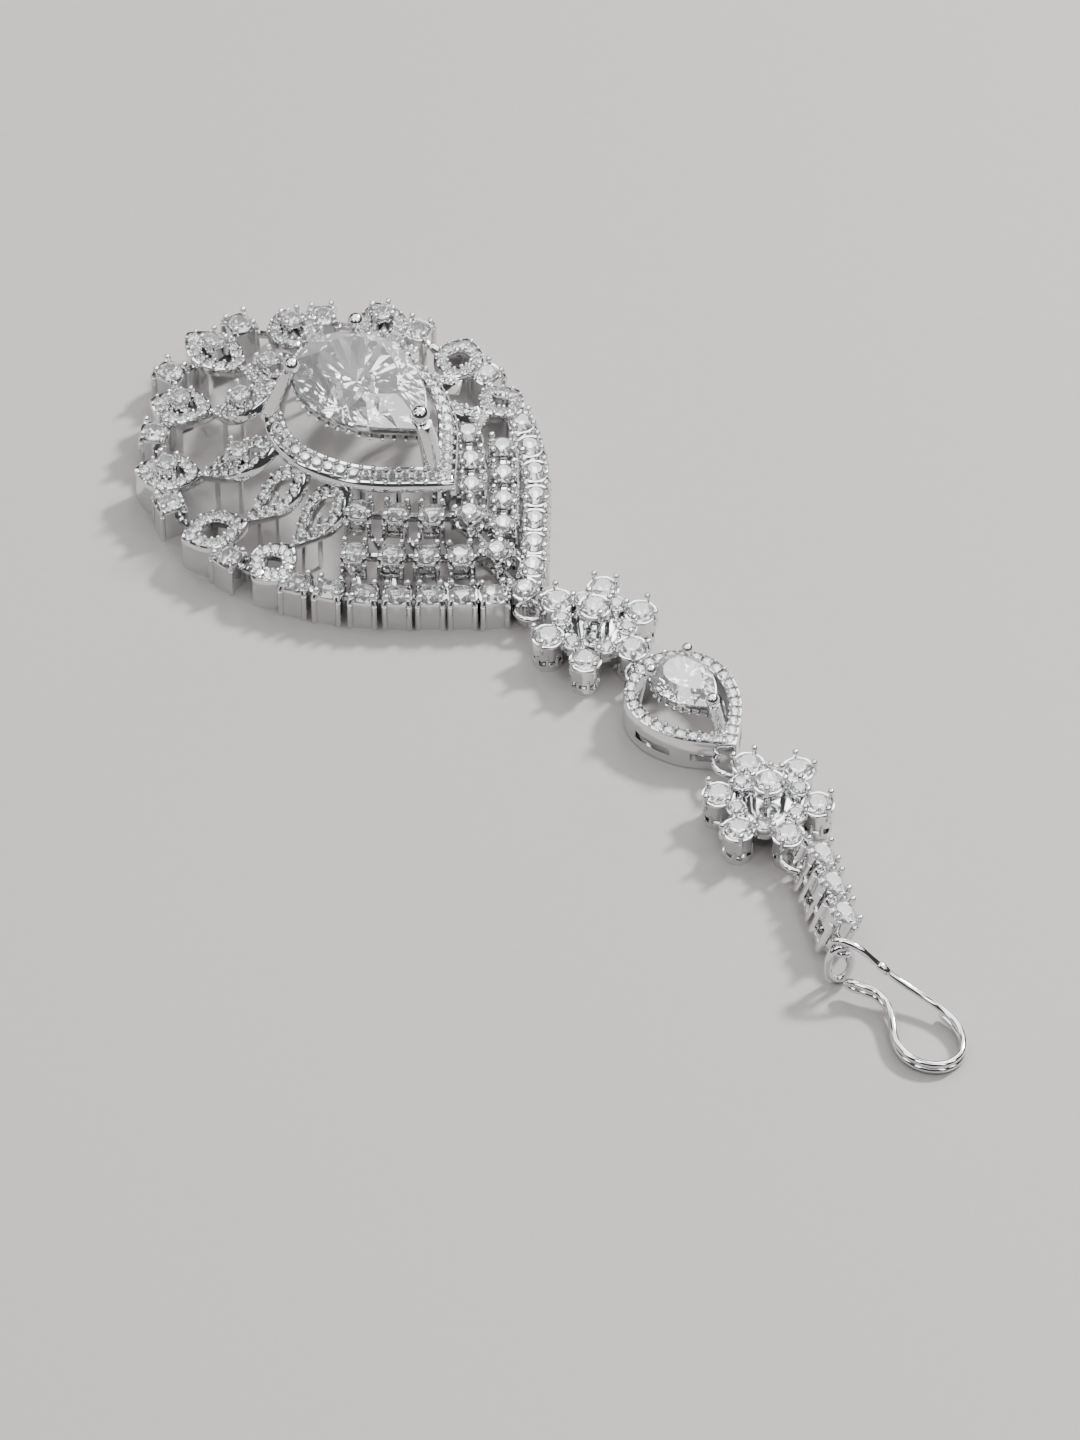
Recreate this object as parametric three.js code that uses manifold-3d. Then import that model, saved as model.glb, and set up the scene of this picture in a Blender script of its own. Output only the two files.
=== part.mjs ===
// Maang tikka: a domed pear-shaped pendant, a short chain of set links and a doubled wire hair hook.
// Millimetres, +Z up, lying on its back. +X runs along the pendant's axis from its round end to its tip,
// and on towards the chain and the hook. The tip stone of the pendant stands over the working origin.
import * as THREE from 'three';
import { mergeVertices } from 'three/addons/utils/BufferGeometryUtils.js';
import Module from 'manifold-3d';

const wasm = await Module();
wasm.setup();

// Place that lies on from another along its heading, and to the left of it
function ahead(from, along, left, turn) {
  const t = THREE.MathUtils.degToRad(from.turn);
  const x = from.x + along * Math.cos(t) - left * Math.sin(t);
  const y = from.y + along * Math.sin(t) + left * Math.cos(t);
  return { x, y, turn };
}

// Heights
const RIM_TOP = 3.6;
const ROW_RISE = 2.15;
const HALO_TOP = RIM_TOP + 6.4;
const STONE_GIRDLE = RIM_TOP + 10.2;
const BALL_TOP = RIM_TOP + 12.1;

// Small round stones of the pendant and the cups that hold them
const SMALL_STONE = 2.2;
const CUP_ALONG = 2.4;
const CUP_ACROSS = 2.5;
const ROW_CUP_HEIGHT = 2.5;
const SEAT_DEPTH = 0.45;
const CLAW_SIDE = 0.36;
const CLAW_RISE = 0.35;
const STONE_GAP = 0.12;

// Stones of the pendant by place, from the tip: x along the axis, y to one side; all but y = 0 are doubled
const RIM_ROW = [
  [0, 0], [-1.4, 2.3], [-3.2, 4.25], [-5.1, 6.2],
  [-7.05, 8.2], [-9.15, 10.15], [-11.55, 11.9], [-14.1, 13.35],
];
const MIDDLE_ROW = [[-3.4, 0], [-5.2, 2.5], [-7.2, 4.55], [-9.35, 6.65], [-11.7, 8.75]];
const INNER_ROW = [[-6.7, 0], [-8.85, 2.35], [-11.05, 4.4], [-13.5, 6.4]];
const LONE_STONES = [[-20.3, 15.3], [-28.35, 14.7], [-35.35, 9.95], [-39.7, 4.1]];

// Leaf pairs: outer tip, joint and inner end of each, and whether a stone is raised over its leaves
const LEAF_PAIRS = [
  { tip: [-42.1, 0], joint: [-34.9, 0], end: [-28.1, 0], raised: true },
  { tip: [-38.4, 7.8], joint: [-33.0, 5.4], end: [-27.4, 3.6], raised: true },
  { tip: [-33.3, 14.3], joint: [-28.2, 11.2], end: [-22.9, 7.1], raised: true },
  { tip: [-24.5, 17.0], joint: [-21.5, 12.1], end: [-19.2, 7.2], raised: false },
  { tip: [-16.8, 15.9], joint: [-16.7, 11.3], end: [-15.4, 6.2], raised: false },
];
const LEAF_BAND = 1.3;
const LEAF_THICK = 0.9;
const OUTER_LEAF_WIDTH = 4.4;
const INNER_LEAF_WIDTH = 4.3;
const LEAF_JOINT_RISE = 0.7;
const LEAF_END_RISE = 5.6;
const RAISED_OVER_LEAF = 1.45;
const RAISED_CUP = 2.15;
const RAISED_STONE = 1.8;

// Pear outlines as shares: distance from the tip along the length, and half width
const PEAR_SHARES = [
  [0, 0], [0.05, 0.15], [0.1, 0.28], [0.19, 0.52], [0.29, 0.73], [0.41, 0.89], [0.53, 0.985], [0.62, 1],
  [0.72, 0.97], [0.83, 0.83], [0.92, 0.6], [0.98, 0.3],
];

// Halo, basket and main stone of the pendant
const HALO_TIP = -9.6;
const HALO_LENGTH = 18.0;
const HALO_WIDTH = 14.1;
const HALO_BAND = 1.7;
const HALO_THICK = 1.2;
const HALO_SLANT = 0.35;
const MAIN_TIP = -12.0;
const MAIN_LENGTH = 14.2;
const MAIN_WIDTH = 10.0;
const MAIN_CROWN = 1.7;
const MAIN_PAVILION = 4.2;
const RAIL_HEIGHT = 1.3;
const RAIL_WALL = 0.5;
const MAIN_PRONG = 1.1;
const MAIN_BALL = 1.35;

// Chain pieces, each placed on from the one before it
const PETAL_STONE = 2.5;
const PETAL_CUP = 2.85;
const FLOWER_RADIUS = 4.15;
const FLOWER_PLATE = FLOWER_RADIUS - 0.7;
const FLOWER_CENTRE_RISE = 2.2;
const FLOWER_1 = { x: 7.0, y: 1.35, turn: 5 };
const PEAR_LINK_LENGTH = 10.9;
const PEAR_LINK_HEEL = { x: 13.47, y: 1.38, turn: -6.5 };
const PEAR_LINK = ahead(PEAR_LINK_HEEL, PEAR_LINK_LENGTH, 0, PEAR_LINK_HEEL.turn);
const FLOWER_2 = ahead(PEAR_LINK, 6.92, -1.53, -22);
const PEAR_LINK_WIDTH = 8.2;
const PEAR_LINK_BAND = 1.25;
const PEAR_STONE_LENGTH = 7.0;
const PEAR_STONE_WIDTH = 5.0;
const PEAR_STONE_RISE = 1.7;
const TENNIS_START = ahead(FLOWER_2, 7.55, 1.6, -30.2);
const TENNIS_PITCH = 3.3;
const TENNIS_COUNT = 3;
const TENNIS_ROLL = 22;
const TENNIS_HEIGHT = 3.9;
const TENNIS_LENGTH = 2.85;
const TENNIS_WIDTH = 2.7;
const TENNIS_STONE = 2.5;
const END_LOOP = { high: 2.0, wide: 1.0, wire: 0.62, ahead: 2.6, aside: 1.5, rise: 2.4 };
const RING_WIRE = 0.55;
const RING_CLEAR = 0.2;
const HOOK_WIRE = 0.56;
const STRAND_STEP = 0.66;
const HOOK_START = ahead(TENNIS_START, 11.72, 1.28, -14.1);

const METAL = { color: 0xd9d7d6, roughness: 0.12, metalness: 1.0 };
const STONE = { color: 0xf2f3f6, roughness: 0.03, metalness: 0.0 };

const group = new THREE.Group();
group.name = 'maang_tikka';

const rad = THREE.MathUtils.degToRad;
const vec = (x, y, z) => new THREE.Vector3(x, y, z);

// Place of a piece: position, heading about +Z in degrees, then roll about its own length
function place(x, y, z, turn = 0, roll = 0) {
  const heading = new THREE.Matrix4().makeRotationZ(rad(turn));
  const rolled = new THREE.Matrix4().makeRotationX(rad(-roll));
  return new THREE.Matrix4().makeTranslation(x, y, z).multiply(heading).multiply(rolled);
}

function placeOn(from, along, left, z, roll) {
  const spot = ahead(from, along, left, from.turn);
  return place(spot.x, spot.y, z, spot.turn, roll);
}

// Closed body through a run of sections; a section of one point closes the run like a cone
function skin(sections, looped = false) {
  const points = [];
  const starts = [];
  const faces = [];
  for (const section of sections) {
    starts.push(points.length);
    points.push(...section);
  }
  const steps = looped ? sections.length : sections.length - 1;
  for (let i = 0; i < steps; i++) {
    const j = (i + 1) % sections.length;
    const m = Math.max(sections[i].length, sections[j].length);
    for (let k = 0; k < m; k++) {
      const l = (k + 1) % m;
      const pick = (s, q) => starts[s] + (sections[s].length === 1 ? 0 : q);
      if (sections[i].length > 1) faces.push([pick(i, k), pick(i, l), pick(j, k)]);
      if (sections[j].length > 1) faces.push([pick(i, l), pick(j, l), pick(j, k)]);
    }
  }
  if (!looped) {
    const last = sections.length - 1;
    for (let k = 1; k + 1 < sections[0].length; k++) {
      faces.push([starts[0], starts[0] + k + 1, starts[0] + k]);
    }
    for (let k = 1; k + 1 < sections[last].length; k++) {
      faces.push([starts[last], starts[last] + k, starts[last] + k + 1]);
    }
  }
  return solidOf(points, faces);
}

function solidOf(points, faces) {
  const make = (list) => new wasm.Manifold(new wasm.Mesh({
    numProp: 3,
    vertProperties: new Float32Array(points.flatMap((p) => [p.x, p.y, p.z])),
    triVerts: new Uint32Array(list.flat()),
  }));
  const made = make(faces);
  return made.volume() < 0 ? make(faces.map(([a, b, c]) => [a, c, b])) : made;
}

// Solid of a three.js geometry, moved to its place
function solidFrom(geometry, matrix = new THREE.Matrix4()) {
  const bare = geometry.clone();
  bare.deleteAttribute('normal');
  bare.deleteAttribute('uv');
  const merged = mergeVertices(bare, 1e-4);
  merged.applyMatrix4(matrix);
  const at = merged.getAttribute('position');
  const point = (_, i) => new THREE.Vector3().fromBufferAttribute(at, i);
  const points = Array.from({ length: at.count }, point);
  const faces = [];
  for (let i = 0; i < merged.index.count; i += 3) {
    faces.push([merged.index.getX(i), merged.index.getX(i + 1), merged.index.getX(i + 2)]);
  }
  return solidOf(points, faces);
}

const join = (solids) => wasm.Manifold.union(solids);

// Upright plate of a plan outline between two heights, in the frame of its place
function plate(outline, low, high, matrix) {
  const shape = new THREE.Shape(outline.map(([x, y]) => new THREE.Vector2(x, y)));
  const depth = high - low;
  const geometry = new THREE.ExtrudeGeometry(shape, { depth, bevelEnabled: false, curveSegments: 1 });
  geometry.translate(0, 0, low);
  return solidFrom(geometry, matrix);
}

function block(sizeX, sizeY, sizeZ, matrix) {
  return solidFrom(new THREE.BoxGeometry(sizeX, sizeY, sizeZ), matrix);
}

// Straight bar of square section between two points
function bar(from, to, side) {
  const along = to.clone().sub(from);
  const turn = new THREE.Quaternion().setFromUnitVectors(vec(1, 0, 0), along.clone().normalize());
  const matrix = new THREE.Matrix4().compose(from.clone().add(to).multiplyScalar(0.5), turn, vec(1, 1, 1));
  return block(along.length(), side, side, matrix);
}

function chamfered(along, across, cut) {
  const a = along / 2;
  const b = across / 2;
  return [
    [a, b - cut], [a - cut, b], [cut - a, b], [-a, b - cut],
    [-a, cut - b], [cut - a, -b], [a - cut, -b], [a, cut - b],
  ];
}

function polygon(radius, count, phase = 0.5) {
  return Array.from({ length: count }, (_, k) => {
    const t = ((k + phase) / count) * 2 * Math.PI;
    return [radius * Math.cos(t), radius * Math.sin(t)];
  });
}

const lift = (outline, z, matrix, scale = 1, cx = 0, cy = 0) =>
  outline.map(([x, y]) => vec(cx + (x - cx) * scale, cy + (y - cy) * scale, z).applyMatrix4(matrix));

// Offset of a closed plan outline, to the outside for a positive distance
function offset(outline, distance) {
  const n = outline.length;
  const cross = ([x, y], [u, v]) => x * v - u * y;
  const area = outline.reduce((s, p, i) => s + cross(p, outline[(i + 1) % n]), 0);
  const side = Math.sign(area);
  const normal = (p, q) => {
    const l = Math.hypot(q[0] - p[0], q[1] - p[1]);
    return [(side * (q[1] - p[1])) / l, (side * (p[0] - q[0])) / l];
  };
  return outline.map((p, i) => {
    const [ax, ay] = normal(outline[(i + n - 1) % n], p);
    const [bx, by] = normal(p, outline[(i + 1) % n]);
    const k = distance / (1 + ax * bx + ay * by);
    return [p[0] + k * (ax + bx), p[1] + k * (ay + by)];
  });
}

// Pear outline with its tip at the given x, its round end at smaller x
function pear(tip, length, width, every = 1) {
  const shares = PEAR_SHARES.filter((_, i) => i % every === 0);
  const upper = shares.map(([s, w]) => [tip - s * length, (w * width) / 2]);
  const lower = upper.slice(1).reverse().map(([x, y]) => [x, -y]);
  return [...upper, [tip - length, 0], ...lower];
}

// Cut stone with its table at the given height: crown and pavilion facets that meet at the girdle
function cutStone(outline, table, crown, pavilion, matrix, grow = 0) {
  const edge = grow ? offset(outline, grow) : outline;
  const n = edge.length;
  const cx = edge.reduce((s, [x]) => s + x, 0) / n;
  const cy = edge.reduce((s, [, y]) => s + y, 0) / n;
  const top = table + grow;
  return skin([
    [vec(cx, cy, top - crown - pavilion - 2 * grow).applyMatrix4(matrix)],
    lift(edge, top - crown - grow, matrix),
    lift(edge, top, matrix, 0.58, cx, cy),
  ]);
}

const roundStone = (diameter, matrix, grow = 0) =>
  cutStone(polygon(diameter / 2, 8), 0, 0.32 * (diameter / 2), 0.8 * (diameter / 2), matrix, grow);

// Crown of a stone that is fused to its cup
const fusedStone = (diameter, foot, matrix) => {
  const edge = polygon(diameter / 2, 8);
  return skin([lift(edge, foot, matrix), lift(edge, 0, matrix, 0.56)]);
};

// Claws: three-sided spikes round a stone, standing on the cup's upper edge or running down its corners
function claws(reach, foot, matrix, side = CLAW_SIDE, rise = CLAW_RISE, phase = 45) {
  return [0, 90, 180, 270].map((turn) => {
    const post = matrix.clone().multiply(place(0, 0, 0, turn + phase));
    const plan = [[reach + side * 0.3, side / 2], [reach - side * 0.45, 0], [reach + side * 0.3, -side / 2]];
    return skin([lift(plan, foot, post), [vec(reach - side * 0.2, 0, rise).applyMatrix4(post)]]);
  });
}

const rectangle = (along, across) =>
  [[along / 2, across / 2], [-along / 2, across / 2], [-along / 2, -across / 2], [along / 2, -across / 2]];

// Cup of the pendant with its stone fused in, table at z = 0 of its place
function rowCup(height, matrix, along = CUP_ALONG, across = CUP_ACROSS, diameter = SMALL_STONE) {
  return join([
    plate(rectangle(along, across), -height, -SEAT_DEPTH, matrix),
    fusedStone(diameter, -SEAT_DEPTH - 0.1, matrix),
    ...claws(diameter * 0.58, -SEAT_DEPTH - 0.1, matrix),
  ]);
}

// Cup whose stone is a piece of its own
function openCup(height, width, matrix) {
  return join([
    plate(chamfered(width, width, width * 0.1), -height, -SEAT_DEPTH * 0.8, matrix),
    ...claws(width * 0.575, -SEAT_DEPTH * 0.8 - 0.1, matrix),
  ]);
}

// Heading of a row at one of its stones
function headings(row) {
  return row.map(([x, y], i) => {
    if (i === 0) return 90;
    const next = row[Math.min(i + 1, row.length - 1)];
    const last = row[i - 1];
    return THREE.MathUtils.radToDeg(Math.atan2(next[1] - last[1], next[0] - last[0]));
  });
}

function rowPlaces(row, top) {
  const turns = headings(row);
  return row.flatMap(([x, y], i) => {
    const near = { x, y, turn: turns[i], z: top, index: i, side: 1 };
    return y === 0 ? [near] : [near, { ...near, y: -y, turn: -turns[i], side: -1 }];
  });
}

// Chevron row: cups with a small bar from each to the next
function chevronRow(row, top, height, linkDrop) {
  const solids = rowPlaces(row, top).map((p) => rowCup(height, place(p.x, p.y, p.z, p.turn)));
  for (const side of [-1, 1]) {
    for (let i = 1; i < row.length; i++) {
      const from = vec(row[i - 1][0], row[i - 1][1] * side, top - linkDrop);
      const to = vec(row[i][0], row[i][1] * side, top - linkDrop);
      solids.push(bar(from, to, 0.55));
    }
  }
  return solids;
}

// Pair of struts between two rows, one on each side of the axis
function strut(from, fromZ, to, toZ) {
  return [-1, 1].map((side) => bar(vec(from[0], from[1] * side, fromZ), vec(to[0], to[1] * side, toZ), 0.6));
}

// Leaf: a pointed ring between two points, with its band lying on the slope from one to the other
function leafSections(from, to, width, peak, count) {
  const along = to.clone().sub(from);
  const length = along.length();
  const u = along.clone().normalize();
  const v = vec(0, 0, 1).cross(u).normalize();
  const w = u.clone().cross(v);
  const inner = (length / 2 - 1.35 * LEAF_BAND) / (length / 2);
  const innerWide = (width / 2 - LEAF_BAND) / (width / 2);
  const middle = length * 0.5;
  return Array.from({ length: count }, (_, k) => {
    const half = k <= count / 2 ? k : count - k;
    const s = 0.5 - 0.5 * Math.cos((half / (count / 2)) * Math.PI);
    const swell = Math.pow(Math.max(Math.sin(Math.PI * Math.pow(s, peak)), 0), 0.8);
    const wide = (width / 2) * swell * (k <= count / 2 ? 1 : -1);
    const at = (a, b, c) => from.clone().addScaledVector(u, a).addScaledVector(v, b).addScaledVector(w, c);
    const a = s * length;
    const ai = middle + (a - middle) * inner;
    const wideInside = wide * innerWide;
    return [at(a, wide, 0), at(ai, wideInside, 0), at(ai, wideInside, -LEAF_THICK), at(a, wide, -LEAF_THICK)];
  });
}

// Wall of the rim under an outer leaf, from the leaf down to the table top
function leafWall(sections) {
  const n = sections.length;
  const reach = 3;
  const rows = [];
  for (let k = -reach; k <= reach; k++) {
    const [outer, inner] = sections[(k + n) % n];
    const face = outer.clone().lerp(inner, 0.1);
    const back = outer.clone().lerp(inner, 0.85);
    const top = outer.z - LEAF_THICK / 2;
    rows.push([
      vec(face.x, face.y, top), vec(back.x, back.y, top),
      vec(back.x, back.y, 0), vec(face.x, face.y, 0),
    ]);
  }
  return skin(rows);
}

// Stone raised over the open middle of a leaf, in a cup that stands on the leaf's band
function raisedStone(from, to) {
  const middle = from.clone().lerp(to, 0.5);
  const turn = THREE.MathUtils.radToDeg(Math.atan2(to.y - from.y, to.x - from.x));
  const matrix = place(middle.x, middle.y, middle.z + RAISED_OVER_LEAF, turn);
  return rowCup(RAISED_OVER_LEAF + LEAF_THICK * 0.6, matrix, RAISED_CUP, RAISED_CUP, RAISED_STONE);
}

function leafPair(pair, side) {
  const tip = vec(pair.tip[0], pair.tip[1] * side, RIM_TOP - 0.1);
  const joint = vec(pair.joint[0], pair.joint[1] * side, RIM_TOP + LEAF_JOINT_RISE);
  const end = vec(pair.end[0], pair.end[1] * side, RIM_TOP + LEAF_END_RISE);
  const overlap = end.clone().sub(joint).normalize().multiplyScalar(0.3);
  const past = joint.clone().add(vec(overlap.x, overlap.y, 0));
  const outer = leafSections(tip, past, OUTER_LEAF_WIDTH, 0.95, 10);
  const inner = leafSections(joint.clone().sub(overlap), end, INNER_LEAF_WIDTH, 1.3, 8);
  const solids = [skin(outer, true), skin(inner, true), leafWall(outer)];
  if (pair.raised) solids.push(raisedStone(tip, joint), raisedStone(joint, end));
  return solids;
}

function leaves() {
  const sides = (pair) => (pair.tip[1] === 0 ? [1] : [1, -1]);
  return LEAF_PAIRS.flatMap((pair) => sides(pair).flatMap((side) => leafPair(pair, side)));
}

// Band of a pear ring, its outer edge lower than its inner one
function pearBand(outline, band, top, thick, slant, matrix = new THREE.Matrix4()) {
  const outer = offset(outline, band / 2);
  const inner = offset(outline, -band / 2);
  return skin(outline.map((_, i) => [
    vec(outer[i][0], outer[i][1], top - slant).applyMatrix4(matrix),
    vec(inner[i][0], inner[i][1], top + slant).applyMatrix4(matrix),
    vec(inner[i][0], inner[i][1], top - thick).applyMatrix4(matrix),
    vec(outer[i][0], outer[i][1], top - thick).applyMatrix4(matrix),
  ]), true);
}

// Rail of the basket, just under the girdle and following the pavilion
function rail(outline, girdle, matrix = new THREE.Matrix4()) {
  const ring = (distance, z) => lift(offset(outline, distance), z, matrix);
  const rings = [
    ring(0.15, girdle - 0.5),
    ring(-0.35, girdle - 0.5),
    ring(-0.35 - RAIL_WALL, girdle - 0.5 - RAIL_HEIGHT),
    ring(-0.4, girdle - 0.5 - RAIL_HEIGHT),
  ];
  return skin(outline.map((_, i) => rings.map((r) => r[i])), true);
}

// Heavy prong with a ball head, leaning in over the edge of a stone
function heavyProng(foot, waist, head, thick, ball) {
  const ring = (c, r) => polygon(r, 6).map(([x, y]) => vec(c.x + x, c.y + y, c.z));
  return [
    skin([ring(foot, thick * 0.85), ring(waist, thick * 0.52), ring(head, thick * 0.42)]),
    solidFrom(new THREE.SphereGeometry(ball / 2, 6, 4), place(head.x, head.y, head.z)),
  ];
}

const mainOutline = pear(MAIN_TIP, MAIN_LENGTH, MAIN_WIDTH);
const mainStone = (grow = 0) =>
  cutStone(mainOutline, STONE_GIRDLE + MAIN_CROWN, MAIN_CROWN, MAIN_PAVILION, new THREE.Matrix4(), grow);

function mainProngs() {
  const ballZ = BALL_TOP - MAIN_BALL / 2;
  const plans = [
    [[-11.0, 0], [-11.75, 0], [-12.6, 0]],
    [[-25.5, 5.2], [-24.75, 4.15], [-24.4, 3.75]],
    [[-25.5, -5.2], [-24.75, -4.15], [-24.4, -3.75]],
  ];
  return plans.flatMap(([foot, waist, head]) => {
    const low = vec(...foot, HALO_TOP - 0.8);
    return heavyProng(low, vec(...waist, STONE_GIRDLE - 0.6), vec(...head, ballZ), MAIN_PRONG, MAIN_BALL);
  });
}

// Jump ring: the ring itself, and the channel that is cleared for it in the pieces that it joins
function ringAt(radius, matrix) {
  return solidFrom(new THREE.TorusGeometry(radius, RING_WIRE / 2, 5, 10), matrix);
}

function channelAt(radius, matrix) {
  return solidFrom(new THREE.TorusGeometry(radius, RING_WIRE / 2 + RING_CLEAR, 4, 8), matrix);
}

const chainRings = [
  { name: 'jump_ring_1', radius: 1.2, matrix: place(1.3, -0.75, 1.9, 20, 12) },
  { name: 'jump_ring_2', radius: 1.2, matrix: place(12.75, 1.1, 1.7, 0, 0) },
  { name: 'jump_ring_3', radius: 1.35, matrix: placeOn(PEAR_LINK, 1.17, -1.02, 1.9, 15) },
  { name: 'jump_ring_4', radius: 1.35, matrix: placeOn(TENNIS_START, -1.48, -1.73, 1.8, 8) },
];

function cleared(solid) {
  return chainRings.reduce((s, r) => s.subtract(channelAt(r.radius, r.matrix)), solid);
}

function pendantFrame() {
  const halo = pear(HALO_TIP, HALO_LENGTH, HALO_WIDTH);
  const solids = [
    ...chevronRow(RIM_ROW, RIM_TOP, RIM_TOP, 1.5),
    ...chevronRow(MIDDLE_ROW, RIM_TOP + ROW_RISE, ROW_CUP_HEIGHT, 1.3),
    ...chevronRow(INNER_ROW, RIM_TOP + 2 * ROW_RISE, ROW_CUP_HEIGHT, 1.3),
    ...leaves(),
    pearBand(halo, HALO_BAND, HALO_TOP, HALO_THICK, HALO_SLANT),
    rail(mainOutline, STONE_GIRDLE),
    ...mainProngs(),
  ];
  MIDDLE_ROW.forEach((p, i) => {
    if (i % 2) return;
    const out = RIM_ROW[Math.min(Math.round(i * 1.25), RIM_ROW.length - 1)];
    solids.push(...strut(p, RIM_TOP + ROW_RISE - ROW_CUP_HEIGHT + 0.4, out, RIM_TOP - 1.4));
  });
  INNER_ROW.forEach((p, i) => {
    const out = MIDDLE_ROW[Math.min(i, MIDDLE_ROW.length - 1)];
    solids.push(...strut(p, RIM_TOP + 2 * ROW_RISE - ROW_CUP_HEIGHT + 0.4, out, RIM_TOP + ROW_RISE - 1.4));
    const onHalo = halo[Math.min(i * 2, 5)];
    solids.push(...strut(p, RIM_TOP + 2 * ROW_RISE - 0.9, onHalo, HALO_TOP - 0.7));
  });
  for (const side of [-1, 1]) LONE_STONES.forEach((_, i) => solids.push(...loneStone(i, side)));
  const lastRow = RIM_ROW[RIM_ROW.length - 1];
  for (const side of [-1, 1]) {
    solids.push(bar(vec(lastRow[0] - 0.6, lastRow[1] * side, 2.2), vec(-15.6, 14.1 * side, 2.2), 0.6));
  }
  return cleared(join(solids).subtract(mainStone(STONE_GAP)));
}

// Rim cup that stands between two leaf tips, tied to the walls under both
function loneStone(i, side) {
  const [x, y] = LONE_STONES[i];
  const ties = [LEAF_PAIRS[4 - i], LEAF_PAIRS[3 - i]].map(({ tip, joint }) => {
    const wall = vec(...tip, 0).lerp(vec(...joint, 0), 0.42).sub(vec(x, y, 0));
    const toward = wall.clone().normalize();
    const ends = [toward.clone().multiplyScalar(0.9), wall.addScaledVector(toward, -1.2)];
    return bar(...ends.map((p) => vec(x + p.x, (y + p.y) * side, 2.2)), 0.6);
  });
  return [rowCup(RIM_TOP, lonePlace(i, side)), ...ties];
}

function lonePlace(i, side) {
  const [x, y] = LONE_STONES[i];
  const turn = THREE.MathUtils.radToDeg(Math.atan2(y * side, x + 22));
  return place(x, y * side, RIM_TOP, turn);
}

// Flower link: six cups round a raised one, on one plate
function petalPlace(flower, k) {
  const t = rad(flower.turn + 60 * k);
  return place(flower.x + FLOWER_RADIUS * Math.cos(t), flower.y + FLOWER_RADIUS * Math.sin(t), RIM_TOP,
    flower.turn + 60 * k);
}

const flowerCentre = (flower) => place(flower.x, flower.y, RIM_TOP + FLOWER_CENTRE_RISE, flower.turn + 15);

function flowerFrame(flower) {
  const seat = (matrix) => roundStone(PETAL_STONE, matrix, STONE_GAP);
  const centre = flowerCentre(flower);
  const solids = [openCup(RIM_TOP + FLOWER_CENTRE_RISE - 2.3, PETAL_CUP, centre).subtract(seat(centre))];
  solids.push(plate(polygon(FLOWER_PLATE, 6, 0.5), 1.9, 3.1, place(flower.x, flower.y, 0, flower.turn)));
  for (let k = 0; k < 6; k++) {
    const matrix = petalPlace(flower, k);
    const t = rad(flower.turn + 60 * k);
    const from = (reach, z) => vec(flower.x + reach * Math.cos(t), flower.y + reach * Math.sin(t), z);
    const window = place(...from(FLOWER_RADIUS + 1.2, 1.15), flower.turn + 60 * k);
    const cuts = join([block(1.2, 1.35, 0.7, window), seat(matrix)]);
    solids.push(openCup(RIM_TOP, PETAL_CUP, matrix).subtract(cuts));
  }
  return cleared(join(solids));
}

// Pear link: a slotted wall round a pear stone that stands higher in a basket of its own
const pearPlace = place(PEAR_LINK.x, PEAR_LINK.y, 0, PEAR_LINK.turn);
const pearStoneOutline = pear(-2.35, PEAR_STONE_LENGTH, PEAR_STONE_WIDTH, 2);
const pearStone = (grow = 0) =>
  cutStone(pearStoneOutline, RIM_TOP + PEAR_STONE_RISE + 0.9, 0.9, 2.2, pearPlace, grow);

function pearLinkFrame() {
  const outline = pear(0, PEAR_LINK_LENGTH, PEAR_LINK_WIDTH);
  const girdle = RIM_TOP + PEAR_STONE_RISE;
  const solids = [
    pearBand(outline, PEAR_LINK_BAND, RIM_TOP - 0.15, RIM_TOP - 0.15, 0.1, pearPlace),
    rail(pearStoneOutline, girdle + 0.2, pearPlace),
  ];
  const at = (x, y, z) => vec(x, y, z).applyMatrix4(pearPlace);
  for (const [foot, waist, head] of [
    [[-0.9, 0], [-1.95, 0], [-2.45, 0]],
    [[-8.9, 3.2], [-8.6, 2.4], [-8.2, 1.95]],
    [[-8.9, -3.2], [-8.6, -2.4], [-8.2, -1.95]],
  ]) {
    const low = at(...foot, RIM_TOP - 1.4);
    solids.push(...heavyProng(low, at(...waist, girdle - 0.4), at(...head, girdle + 0.9), 0.75, 0.95));
  }
  let made = join(solids);
  for (const side of [-1, 1]) {
    for (const [x, y, turn] of [[-3.1, 2.5, 39], [-7.6, 4.1, 177]]) {
      const slot = place(x, y * side, 1.45, turn * -side).premultiply(pearPlace);
      made = made.subtract(block(2.1, 3.0, 0.75, slot));
    }
  }
  return cleared(made.subtract(pearStone(STONE_GAP)));
}

// Tennis links: one stone each, rolled a little about the chain
const TENNIS_LEAN = TENNIS_WIDTH / 2 + 0.26;
const tennisBase = TENNIS_HEIGHT * Math.cos(rad(TENNIS_ROLL)) + TENNIS_LEAN * Math.sin(rad(TENNIS_ROLL));

function tennisPlace(k) {
  const t = rad(TENNIS_START.turn);
  const x = TENNIS_START.x + k * TENNIS_PITCH * Math.cos(t);
  const y = TENNIS_START.y + k * TENNIS_PITCH * Math.sin(t);
  return place(x, y, tennisBase, TENNIS_START.turn, TENNIS_ROLL);
}

const tennisRing = (k) => tennisPlace(k).multiply(place(TENNIS_PITCH / 2, 0, -2.2));
const LAST_LINK = ahead(TENNIS_START, TENNIS_PITCH * (TENNIS_COUNT - 1), 0, TENNIS_START.turn);
const loopPlace = placeOn(LAST_LINK, TENNIS_LENGTH / 2 + END_LOOP.ahead, -END_LOOP.aside, END_LOOP.rise, 0);

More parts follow.
